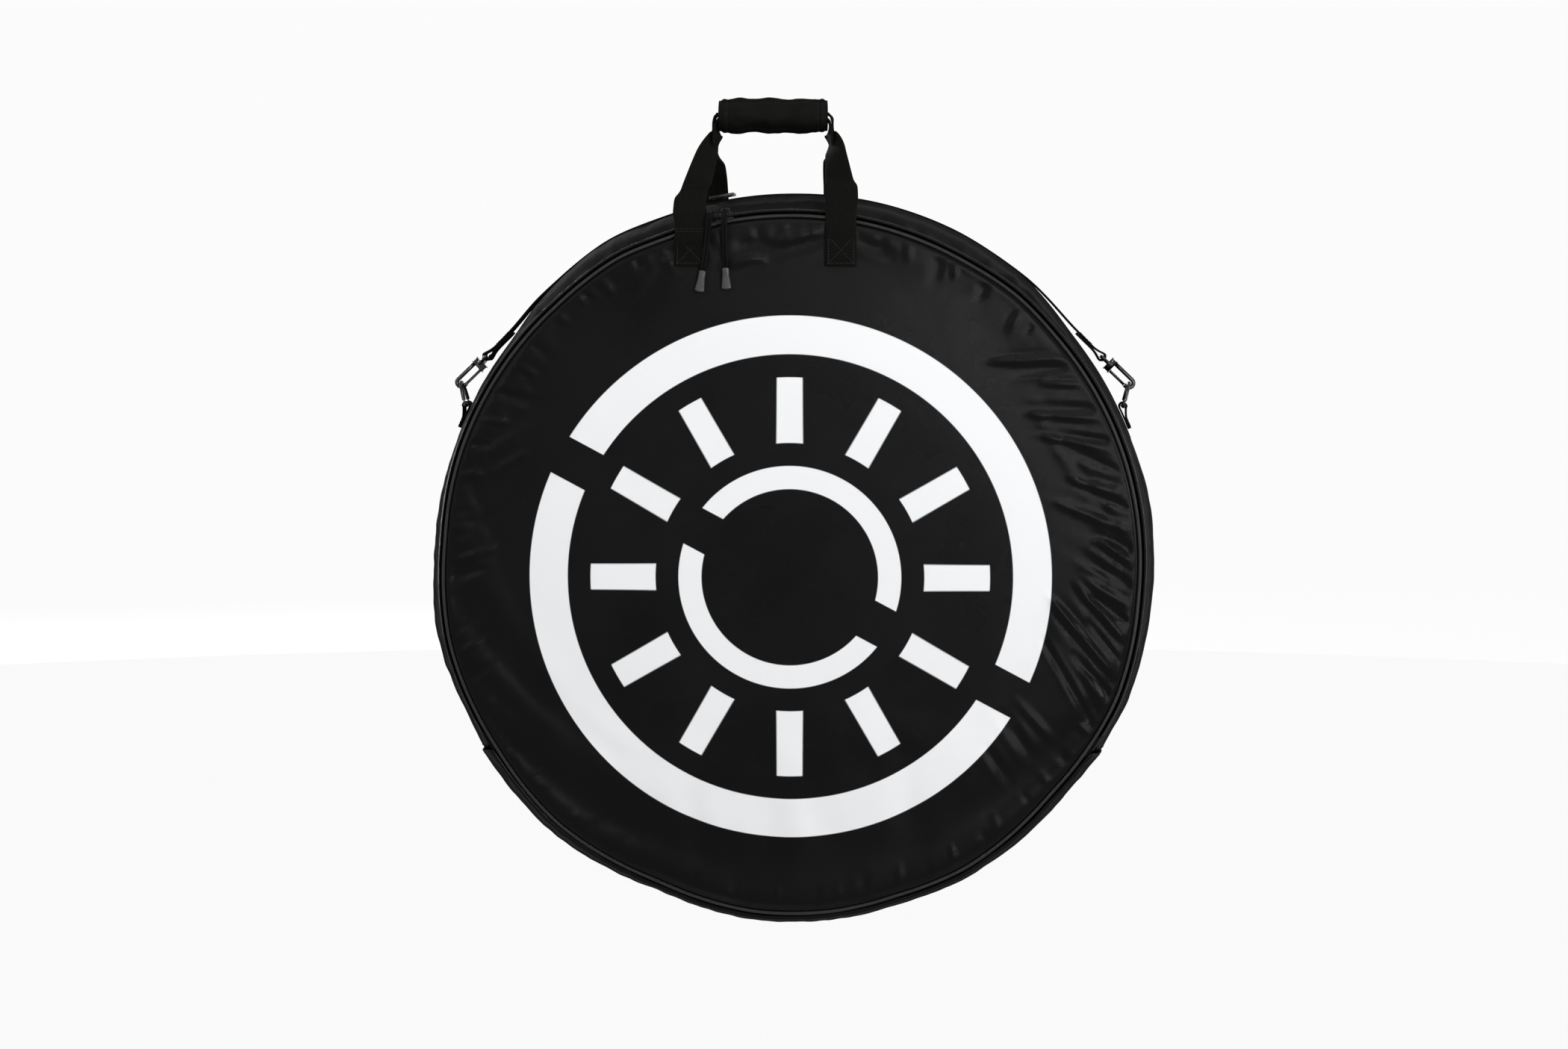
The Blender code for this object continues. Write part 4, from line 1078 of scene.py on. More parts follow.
# The ends of each crease across and up, in metres from the bag's middle line and its foot,
# then its half width and how far it stands out, in millimetres
FRONT_CREASES = (
    (-0.128, 0.690, -0.208, 0.545, 13, -1.6), (-0.150, 0.640, -0.262, 0.425, 16, 1.7),
    (-0.205, 0.520, -0.268, 0.370, 11, -1.4), (-0.252, 0.548, -0.330, 0.500, 9, -2.4),
    (-0.240, 0.515, -0.318, 0.470, 8, 1.9), (-0.268, 0.450, -0.352, 0.412, 8, -2.0),
    (-0.300, 0.402, -0.356, 0.378, 6, 1.9), (-0.318, 0.375, -0.356, 0.366, 5, -2.1),
    (-0.050, 0.712, -0.012, 0.706, 9, -4.2), (-0.068, 0.690, -0.030, 0.700, 7, 3.2),
    (-0.012, 0.716, 0.030, 0.726, 8, 3.4), (-0.020, 0.700, 0.034, 0.716, 7, -3.8),
    (0.070, 0.716, 0.104, 0.702, 8, -2.2), (-0.140, 0.700, -0.112, 0.708, 7, -1.8),
    (0.170, 0.600, 0.235, 0.555, 18, -1.2), (0.240, 0.560, 0.330, 0.430, 12, 1.8),
    (0.262, 0.540, 0.350, 0.395, 9, -1.9), (0.222, 0.225, 0.252, 0.180, 8, -2.0),
    (0.236, 0.240, 0.276, 0.196, 6, 1.6), (0.205, 0.190, 0.232, 0.150, 7, -1.6),
    (0.120, 0.180, 0.130, 0.060, 22, -1.0), (0.000, 0.170, 0.012, 0.050, 24, 0.9),
    (-0.110, 0.150, -0.086, 0.062, 18, -0.9)
)
FRONT_FOLDS = [Fold((a, b), (c, d), width * MM, rise * MM) for a, b, c, d, width, rise in FRONT_CREASES]
FRONT_FOLDS += fold_fan(-28, 38, 22, 66 * MM, 5.2 * MM, 3.2 * MM, 44, SEED)
FRONT_FOLDS += fold_fan(150, 205, 12, 34 * MM, 5.5 * MM, 1.6 * MM, -22, SEED + 1)
FRONT_FOLDS += fold_fan(212, 330, 24, 22 * MM, 5.5 * MM, 1.0 * MM, 12, SEED + 2)
FRONT_FOLDS += fold_fan(44, 144, 20, 24 * MM, 6.0 * MM, 1.2 * MM, -10, SEED + 3)
BACK_FOLDS = fold_fan(0, 352, 64, 34 * MM, 6.5 * MM, 1.7 * MM, 16, SEED + 4)
BACK_FOLDS += [Fold((0.10, 0.56), (0.26, 0.40), 16 * MM, 1.5 * MM),
               Fold((-0.16, 0.60), (-0.28, 0.44), 14 * MM, -1.5 * MM),
               Fold((-0.08, 0.18), (-0.20, 0.12), 14 * MM, 1.2 * MM)]


def disc_rings(radius: float, rings: int) -> tuple[list[tuple[float, float]], list[tuple[int, int, int]]]:
    """An even triangle mesh of a disc, with six more points on each ring.

    Args:
        radius: radius of the last ring.
        rings: how many rings.

    Returns:
        The points and the triangles.
    """
    points, starts = [(0.0, 0.0)], [0]
    for ring in range(1, rings + 1):
        starts.append(len(points))
        reach = radius * ring / rings
        turns = [tau * i / (6 * ring) for i in range(6 * ring)]
        points += [(reach * cos(turn), reach * sin(turn)) for turn in turns]
    faces = []
    for ring in range(rings):
        inner, outer = max(6 * ring, 1), 6 * (ring + 1)
        for sector in range(6):
            for i in range(ring + 1):
                near = starts[ring] + (sector * ring + i) % inner
                far = starts[ring + 1] + (sector * (ring + 1) + i) % outer
                past = starts[ring + 1] + (sector * (ring + 1) + i + 1) % outer
                faces.append((near, far, past))
                if i < ring:
                    faces.append((near, past, starts[ring] + (sector * ring + i + 1) % inner))
    return points, faces


def disc_shell(name: str, radius: float, rings: int, skins: Sequence[Callable[[float, float], Vector]],
               finish: Finish) -> Obj:
    """Makes a closed disc of two skins that meet at the rim.

    Args:
        name: the piece's name.
        radius: its radius.
        rings: rings of points on each skin.
        skins: for each skin, what gives a point from its place across and up.
        finish: its surface.

    Returns:
        The new piece.
    """
    flat, faces = disc_rings(radius, rings)
    size, count = len(flat), 6 * rings
    bm = bmesh.new()
    verts = [bm.verts.new(skin(x, z)) for skin in skins for x, z in flat]
    for a, b, c in faces:
        bm.faces.new((verts[a], verts[b], verts[c]))
        bm.faces.new((verts[a + size], verts[c + size], verts[b + size]))
    for i in range(count):
        here, after = size - count + i, size - count + (i + 1) % count
        bm.faces.new((verts[here], verts[here + size], verts[after + size], verts[after]))
    return finished(name, bm, finish)


@dataclass(frozen=True)
class ClothRun:
    """A cloth simulation of a skin held at its seams.

    Attributes:
        frames: how many frames it runs.
        growth: by what share the loose cloth is larger than its place.
        hold: how strongly the foam under it holds the middle.
        limit: how far a point may move.
        weight: share of normal gravity.
    """

    frames: int = 18
    growth: float = 0.035
    hold: float = 0.06
    limit: float = 4.5 * MM
    weight: float = 0.25

    def run(self, obj: Obj, pins: Sequence[float], loose: Sequence[float]) -> None:
        """Simulates the cloth and keeps the result in the mesh.

        Args:
            obj: the skin, one layer thick.
            pins: how firmly each point is held, 0 to 1.
            loose: share of the growth at each point.
        """
        rest = [v.co.copy() for v in obj.data.vertices]
        for name, weights in (("pins", pins), ("loose", loose)):
            group = obj.vertex_groups.new(name=name)
            for i, weight in enumerate(weights):
                group.add([i], weight, "REPLACE")
        cloth = obj.modifiers.new("cloth", "CLOTH")
        values = cloth.settings
        values.quality, values.mass, values.air_damping = 5, 0.25, 2.0
        values.tension_stiffness = values.compression_stiffness = 12.0
        values.shear_stiffness, values.bending_stiffness = 4.0, 0.35
        values.vertex_group_mass, values.pin_stiffness = "pins", 1.0
        values.vertex_group_shrink, values.shrink_min, values.shrink_max = "loose", 0.0, -self.growth
        values.effector_weights.gravity = self.weight
        cloth.point_cache.frame_start, cloth.point_cache.frame_end = 1, self.frames
        for step in range(1, self.frames + 1):
            bpy.context.scene.frame_set(step)
        settle(obj)
        obj.vertex_groups.clear()
        for vertex, place in zip(obj.data.vertices, rest):
            move = vertex.co - place
            vertex.co = place + move * min(1.0, self.limit / max(move.length, 1e-9))
        bpy.context.scene.frame_set(1)


@dataclass
class Panels:
    """The round front and back panels: skins, padded linings and seams."""

    rings: int = 60
    rim_inset: float = 3.4 * MM
    skin: float = 1.3 * MM
    lip: float = 6.5 * MM
    sink: float = 3.0 * MM
    lining_start: float = 2.2 * MM
    lining_depth: float = 8.9 * MM
    lining_slack: float = 2.6 * MM
    quilt_pitch: float = 74 * MM
    cloth: ClothRun = field(default_factory=ClothRun)

    def skin_object(self, name: str, side: int, folds: Sequence[Fold], finish: Finish) -> Obj:
        """Makes a panel's outer cloth: simulated, creased and rolled over at its seam.

        Args:
            name: the piece's name.
            side: -1 for the front and 1 for the back.
            folds: its creases.
            finish: its surface.

        Returns:
            The new piece.
        """
        flat, faces = disc_rings(BAG.panel_radius - self.rim_inset, self.rings)
        points = [Vector((x, side * BAG.face(hypot(x, z)), BAG.centre + z)) for x, z in flat]
        count = 6 * self.rings
        last = len(points) - count
        roll = ((1.7 * MM, 0.6 * MM), (0.5 * MM, 1.9 * MM), (0.0, 4.2 * MM), (0.3 * MM, 4.2 * MM + self.lip))
        for inset, back in roll:
            start = len(points)
            y = side * (BAG.panel_face - back)
            points += [BAG.rim(BAG.panel_radius - inset, 360 * i / count, y) for i in range(count)]
            for i in range(count):
                k = (i + 1) % count
                faces += [(last + i, start + i, start + k), (last + i, start + k, last + k)]
            last = start
        mesh = bpy.data.meshes.new(name)
        mesh.from_pydata(points, [], faces)
        obj = placed(name, mesh)
        radii = [hypot(p.x, p.z - BAG.centre) for p in points]
        inner = BAG.panel_radius - self.rim_inset
        pins = [1.0 if r > inner - 1 * MM else self.cloth.hold for r in radii]
        loose = [smoothstep(r, 0.16, 0.34) * (0.55 + 0.45 * ripple(p, 120 * MM, side))
                 for r, p in zip(radii, points)]
        self.cloth.run(obj, pins, loose)
        finer = obj.modifiers.new("finer", "SUBSURF")
        finer.levels = finer.render_levels = 1
        settle(obj)
        self.crease(obj.data, side, folds)
        self.flat_uv(obj)
        return dressed(self.thickened(obj, self.skin), finish)

    def crease(self, mesh: bpy.types.Mesh, side: int, folds: Sequence[Fold]) -> None:
        """Presses creases and slow waves into a skin and keeps it clear of its lining.

        Args:
            mesh: the skin's mesh.
            side: -1 for the front and 1 for the back.
            folds: its creases.
        """
        places = mesh_places(mesh)
        x, z = places[:, 0], places[:, 2]
        radius = np.hypot(x, z - BAG.centre)
        inner = BAG.panel_radius - self.rim_inset
        rise = sum(fold.lift(x, z) for fold in folds)
        rise += [1.3 * MM * ripple(Vector(p), 95 * MM, side) + 0.5 * MM * ripple(Vector(p), 31 * MM, side)
                 for p in places]
        flat = np.clip((radius - inner + 7 * MM) / (9 * MM), 0, 1)
        rise *= 1 - flat ** 2 * (3 - 2 * flat)
        face = BAG.panel_face + BAG.crown * (1 - np.minimum(radius / BAG.panel_radius, 1.0) ** 4)
        depth = side * places[:, 1] + rise - face
        half = self.sink / 2
        depth = np.where(depth < -half, -half * (1 + np.tanh(-depth / half - 1)), depth)
        places[:, 1] = np.where(radius < inner, side * (face + depth), places[:, 1])
        move_to(mesh, places)

    @staticmethod
    def flat_uv(obj: Obj) -> None:
        """Gives a panel UV places that are its own metres across and up."""
        layer = obj.data.uv_layers.new(name="UVMap")
        for loop in obj.data.loops:
            place = obj.data.vertices[loop.vertex_index].co
            layer.data[loop.index].uv = (place.x, place.z)

    @staticmethod
    def thickened(obj: Obj, thickness: float) -> Obj:
        """Turns a one-layer skin into cloth of a thickness, inwards from its outer face."""
        bm = bmesh.new()
        bm.from_mesh(obj.data)
        bmesh.ops.recalc_face_normals(bm, faces=bm.faces)
        middle = Vector((0, 0, BAG.centre))
        if sum((f.calc_center_median() - middle).dot(f.normal) for f in bm.faces) < 0:
            bmesh.ops.reverse_faces(bm, faces=bm.faces)
        bm.to_mesh(obj.data)
        bm.free()
        wall = obj.modifiers.new("wall", "SOLIDIFY")
        wall.thickness, wall.offset = thickness, -1.0
        return settle(obj)

    def lining_object(self, name: str, side: int) -> Obj:
        """Makes a panel's padded, quilted lining.

        Args:
            name: the piece's name.
            side: -1 for the front and 1 for the back.

        Returns:
            The new piece.
        """
        radius = BAG.panel_radius - 2 * MM

        def at(quilted: bool, x: float, z: float) -> Vector:
            """A point on the quilted side or on the side of the cloth."""
            r = hypot(x, z)
            thin = smoothstep(r, radius - 10 * MM, radius) * 2.2 * MM
            depth = BAG.face(r) - self.lining_start - self.lining_slack
            if quilted:
                depth += self.lining_slack - self.lining_depth + quilt(x, z, self.quilt_pitch) * 2.0 * MM
            return Vector((x, side * (depth + (thin if quilted else -thin)), BAG.centre + z))

        return disc_shell(name, radius, 46, (partial(at, False), partial(at, True)), LINING)

    def build(self) -> None:
        """Builds both panels and their linings and joins them to their bodies."""
        seat(self.skin_object("front_skin", -1, FRONT_FOLDS, PRINTED_NYLON), FRONT,
             "front_flap_shell", "front_lower_shell", fill=0.5)
        seat(self.skin_object("back_skin", 1, BACK_FOLDS, NYLON), "root", "back_panel_shell", fill=0.5)
        seat(self.lining_object("front_lining_pad", -1), FRONT, "front_flap_foam", "front_flap_lining",
             "front_lower_foam", "front_lower_lining", fill=0.4)
        seat(self.lining_object("back_lining_pad", 1), "root", "back_panel_foam", "back_panel_lining",
             fill=0.4)


def quilt(x: float, z: float, pitch: float) -> float:
    """Depth of sewn diamond channels at a place, 1 on a line of stitches and 0 between."""
    deepest = 0.0
    for across in ((x + z) / sqrt(2), (x - z) / sqrt(2)):
        away = abs((across / pitch) % 1.0 - 0.5) * pitch
        line = pitch / 2 - away
        deepest = max(deepest, exp(-(line / (5 * MM)) ** 2))
    return deepest


@dataclass
class Gusset:
    """The band round the rim: outer cloth, padded lining, seams, piping and bindings."""

    skin: float = 1.6 * MM
    width_steps: int = 26

    def profile(self, front: float, count: int) -> list[tuple[float, float]]:
        """Places across the gusset as radius and depth, closer together at its seams."""
        shares = [(1 - cos(pi * i / count)) / 2 for i in range(count + 1)]
        depths = [front + (BAG.gusset_back - front) * share for share in shares]
        return [(BAG.gusset(y, front), y) for y in depths]

    def pucker(self, angle: float, y: float, front: float) -> float:
        """How far the gathered cloth dips at a place, deepest next to its seams."""
        arc = radians(angle) * BAG.outer_radius
        edge = min(y - front, BAG.gusset_back - y)
        near = exp(-max(edge - 6 * MM, 0) / (13 * MM)) * smoothstep(edge, 0.0, 5 * MM)
        side = 0.0 if y < 0 else 3.1
        gathers = noise.noise(Vector((arc / (11 * MM), side, 0.3))) * 1.5 * MM * near
        broad = noise.noise(Vector((arc / (70 * MM), y / (45 * MM), 1.7)))
        slanted = noise.noise(Vector(((arc + y * 0.8) / (30 * MM), y / (80 * MM), 4.1)))
        dip = gathers - near * 0.5 * MM + (broad * 1.1 * MM + slanted * 0.8 * MM) * (1 - near) - 0.7 * MM
        under_strap = 1 - smoothstep(abs(y), 14 * MM, 24 * MM) if 20 < angle < 160 else 0.0
        return dip * (1 - 0.8 * under_strap)

    def band_object(self, name: str, front: float, low: float, high: float, seam: float,
                    finish: Finish) -> Obj:
        """Makes a stretch of the gusset's outer cloth between two seams.

        Args:
            name: the piece's name.
            front: depth of its front edge.
            low: angle of its start, for the choice of the seam's side.
            high: angle of its end.
            seam: height of the seams at both ends.
            finish: its surface.

        Returns:
            The new piece.
        """
        profile = self.profile(front, self.width_steps)
        steps = int((high - low) * 1.5)
        rows = []
        for i in range(steps + 1):
            row = []
            for radius, y in profile:
                end = rim_angle_at(seam, radius)
                start, stop = (end, 180 - end) if low > -90 else (180 - end, 360 + end)
                angle = start + (stop - start) * i / steps
                fade = smoothstep(min(angle - start, stop - angle), 0.0, 3.0)
                share = self.pucker(angle, y, front) * fade
                place = BAG.rim(radius + min(share, 0.3 * MM), angle, y)
                place.z = max(place.z, 0.0)
                row.append(place)
            rows.append(row)
        arc = radians(high - low) * BAG.outer_radius / steps
        obj = grid_object(name, rows, finish, lambda i, j: (i * arc, profile[j][1]))
        return Panels.thickened(obj, self.skin)

    def lining(self) -> Obj:
        """Makes the padded lining inside the gusset, sewn across at even places."""
        front, back = BAG.rear_tape_edge, BAG.gusset_back - 8.3 * MM
        steps, columns = 360, 14
        rows = []
        for i in range(steps):
            angle = 360 * i / steps
            line = abs((i % 20) - 10) / 10
            dip = exp(-((1 - line) * 10 * 6.3 * MM / (5 * MM)) ** 2) * 1.6 * MM
            depths = [front + (back - front) * j / columns for j in range(columns + 1)]
            ring = [BAG.rim(BAG.gusset(y, front) - 6.4 * MM, angle, y) for y in depths]
            for j, y in reversed(list(enumerate(depths))):
                puff = sin(pi * j / columns) ** 0.5
                radius = max(BAG.gusset(y, front) - 12.2 * MM, BAG.lining_inner - 0.4 * MM)
                radius = min(radius, BAG.gusset(y, front) - 8.0 * MM)
                ring.append(BAG.rim(radius + dip * puff, angle, y))
            rows.append(ring)
        rows.append(rows[0])
        obj = grid_object("gusset_lining_pad", rows, LINING, lambda i, j: (i * 6.3 * MM, j * 8 * MM),
                          closed=True)
        weld(obj)
        return obj

    def build(self) -> None:
        """Builds the gusset and everything sewn into its edges."""
        for part, front, low, high, gap in (("upper", BAG.rear_tape_edge, -32, 212, 0.15 * MM),
                                            ("lower", BAG.front_tape_edge, -148, -32, -0.15 * MM)):
            seat(self.band_object(f"gusset_{part}_skin", front, low, high, BAG.zip_end + gap, NYLON),
                 "root", f"gusset_{part}_band", fill=0.4)
        seat(self.lining(), "root", "gusset_foam", "gusset_lining", fill=0.4)
        self.build_piping()
        self.build_bindings()
        self.build_stitches()

    def build_piping(self) -> None:
        """Builds the piping of the front seam, which bends at the fold, and of the back seam."""
        for name, y, body, nodes in (
                ("piping_front", -71.8 * MM, FRONT, ("piping_front_flap", "piping_front_lower")),
                ("piping_back_cord", 71.8 * MM, "root", ("piping_back",))):
            places = [BAG.rim(BAG.panel_radius + 2.4 * MM, i, y) for i in range(360)]
            points = [place + Vector((0, 0.25 * MM * ripple(place, 60 * MM), 0)) for place in places]
            seat(tube(name, points, 4.0 * MM, PIPING, 10, closed=True, lumps=0.12 * MM), body, *nodes)

    def build_bindings(self) -> None:
        """Builds the woven bindings over the raw edges of the two seams."""
        inner, corner = BAG.panel_radius + 0.4 * MM, 0.4 * MM
        for name, y, outer, body, nodes in (
                ("seam_binding_front", -66.75 * MM, 366.9 * MM, FRONT,
                 ("seam_binding_flap", "seam_binding_lower")),
                ("seam_binding_rear", 66.75 * MM, 367.4 * MM, "root", ("seam_binding_back",))):
            section = [(inner, -0.8), (inner + corner, -1), (outer - corner, -1), (outer, -0.8)]
            section += [(radius, -share) for radius, share in reversed(section)]
            rows = []
            for i in range(361):
                half = 2.1 * MM + 0.12 * MM * ripple(BAG.rim(inner, i % 360), 15 * MM)
                rows.append([BAG.rim(radius, i % 360, y + half * share) for radius, share in section])
            piece = grid_object(name, rows, ZIP_TAPE, lambda i, j: (j * 1.5 * MM, i * 6.3 * MM), closed=True)
            weld(piece)
            seat(piece, body, *nodes)

    def build_stitches(self) -> None:
        """Builds the lines of stitches along the back seam and over the two side seams."""
        y = BAG.gusset_back - 4 * MM
        paths = [[]]
        for i in range(721):
            angle = -32 + i / 2
            front = BAG.rear_tape_edge if angle < 212 else BAG.front_tape_edge
            dip = min(self.pucker(angle, y, front), 0.3 * MM)
            place = BAG.rim(BAG.gusset(y, front) + dip - 0.1 * MM, angle, y)
            paths[0].append((place, outward(place)))
        for sign in (-1, 1):
            def at(y: float, offset: float, sign: int = sign) -> tuple[Vector, Vector]:
                """A place next to a side seam, with its outward direction."""
                radius = BAG.gusset(y, BAG.rear_tape_edge if offset > 0 else BAG.front_tape_edge) + 0.1 * MM
                place = BAG.rim(radius, rim_angle_at(BAG.zip_end + offset, radius), y)
                return flipped(place, sign), flipped(outward(place), sign)
            paths += sewn([((-44 * MM, away), (64 * MM, away)) for away in (-3.5 * MM, 3.5 * MM)], at, 24)
        seat(STITCHES.lay("gusset_seam_stitches", paths), "root")


# --- zip


# Section of the folded stop at a zip's closed end: radius and depth, in millimetres
ZIP_END_SECTION = ((364.4, -69.0), (364.4, -64.6), (368.8, -64.6), (368.9, -58.6), (369.8, -58.4),
                   (370.0, -59.5), (370.1, -64.0), (370.0, -68.0), (369.7, -69.0))


@dataclass
class Zip:
    """The zip round the front: tapes, coils, sewn ends and the sliders' metal."""

    stitch_inset: float = 1.6 * MM
    tape_steps: int = 360

    def tape(self, name: str, front: float, back: float, end: float) -> Obj:
        """Makes a woven tape over the top of the bag, down to a height on each side.

        Args:
            name: the piece's name.
            front: depth of its front edge.
            back: depth of its back edge.
            end: height of its two ends.

        Returns:
            The new piece.
        """
        low = rim_angle_at(end, BAG.tape_inner)
        depths = [front + (back - front) * share for share in (0.0, 0.04, 0.2, 0.4, 0.6, 0.8, 0.96, 1.0)]
        rows = []
        for i in range(self.tape_steps + 1):
            angle = low + (180 - 2 * low) * i / self.tape_steps
            wave = 0.12 * MM * ripple(BAG.rim(BAG.tape_inner, angle, front), 26 * MM)
            top = [BAG.rim(BAG.tape_outer + wave - (0.35 * MM if k in (0, 7) else 0.0), angle, y)
                   for k, y in enumerate(depths)]
            low_side = [BAG.rim(BAG.tape_inner + wave, angle, y) for y in reversed(depths)]
            rows.append(top + low_side)
        arc = BAG.tape_outer * radians(180 - 2 * low) / self.tape_steps
        across = depths + depths[::-1] + depths[:1]
        return grid_object(name, rows, ZIP_TAPE, lambda i, j: (across[j], i * arc), closed=True, caps=True)

    def build(self, nodes: dict[str, Obj]) -> None:
        """Builds the tapes, coils and stitches, and dresses the sliders.

        Args:
            nodes: the CAD nodes by name.
        """
        fold, end = BAG.fold + BAG.fold_gap / 2, BAG.zip_end + 0.3 * MM
        split = 0.6 * MM
        middle = (BAG.teeth_base + BAG.teeth_top) / 2 - 0.1 * MM
        for part, body, front, back, height, side in (
                ("flap", "flap", BAG.front_tape_edge, BAG.zip_line - split, fold, -1),
                ("body", "root", BAG.zip_line + split, BAG.rear_tape_edge, end, 1)):
            seat(self.tape(f"zip_tape_{part}_woven", front, back, height), body, f"zip_tape_{part}")
            low = rim_angle_at(height + 1.5 * MM, middle)
            path = rim_path(middle, BAG.zip_line + side * 2.0 * MM, low, 180 - low)
            seat(COIL.lay(f"zip_coil_{part}", [path]), body, f"zip_teeth_{part}")
            outer = front + self.stitch_inset if side < 0 else back - self.stitch_inset
            low = rim_angle_at(height + 2 * MM, BAG.tape_outer)
            lines = [rim_path(BAG.tape_outer + 0.05 * MM, y, low, 180 - low)
                     for y in (outer, BAG.zip_line + side * 5.2 * MM)]
            seat(STITCHES.lay(f"zip_stitches_{part}", lines), body)
        self.build_ends()
        for side in ("left", "right"):
            dress_node(nodes[f"zip_slider_{side}"], METAL)

    def build_ends(self) -> None:
        """Builds the folded fabric stops over the zip's two closed ends."""
        low, high = BAG.zip_end + 0.35 * MM, BAG.fold - 0.6 * MM
        for side, sign in SIDES:
            rows = []
            for i in range(15):
                height = low + (high - low) * i / 14
                pillow = 0.22 * MM * sin(pi * i / 14)
                row = []
                for reach, y in ZIP_END_SECTION:
                    radius = reach * MM + (pillow if reach > 369.5 else 0.0)
                    row.append(flipped(BAG.rim(radius, rim_angle_at(height, radius), y * MM), sign))
                rows.append(row)
            piece = grid_object(f"zip_end_{side}_tab", rows, ZIP_TAPE,
                                lambda i, j: (j * 2 * MM, i * 1.2 * MM), closed=True, caps=True)
            seat(piece, "root", f"zip_end_{side}")

            def at(y: float, height: float, sign: int = sign) -> tuple[Vector, Vector]:
                """A place on the tab, with its outward direction."""
                place = BAG.rim(370.35 * MM, rim_angle_at(height, 370.35 * MM), y)
                return flipped(place, sign), flipped(outward(place), sign)

            lines = [((-68.2 * MM, height), (-59.4 * MM, height))
                     for height in (low + 3 * MM, low + 5 * MM, high - 3 * MM)]
            seat(BOX_STITCHES.lay(f"zip_end_stitches_{side}", sewn(lines, at, 3)), "root")


def dress_node(node: Obj, finish: Finish) -> None:
    """Gives a CAD node its finish and leaves its shape as it is."""
    if not node.material_slots:
        node.data.materials.append(None)
    for slot in node.material_slots:
        slot.material = finish.material()


# --- handles and grip


@dataclass(frozen=True)
class Grip:
    """Place and size of the padded grip wrap, as in the part."""

    height: float = 848.5 * MM
    x: float = -21.5 * MM
    length: float = 114 * MM
    depth: float = 38 * MM
    rise: float = 35 * MM
    wall: float = 3 * MM
    open_top: float = 62.0
    open_base: float = -72.0
    gap: float = 3.3

    def around(self, x: float, turn: float, out: float = 0.0) -> Vector:
        """A point round the wrap, at an angle from the front and a distance out of its oval."""
        return Vector((x, -cos(turn) * (self.depth / 2 + out),
                       self.height + sin(turn) * (self.rise / 2 + out)))


GRIP = Grip()


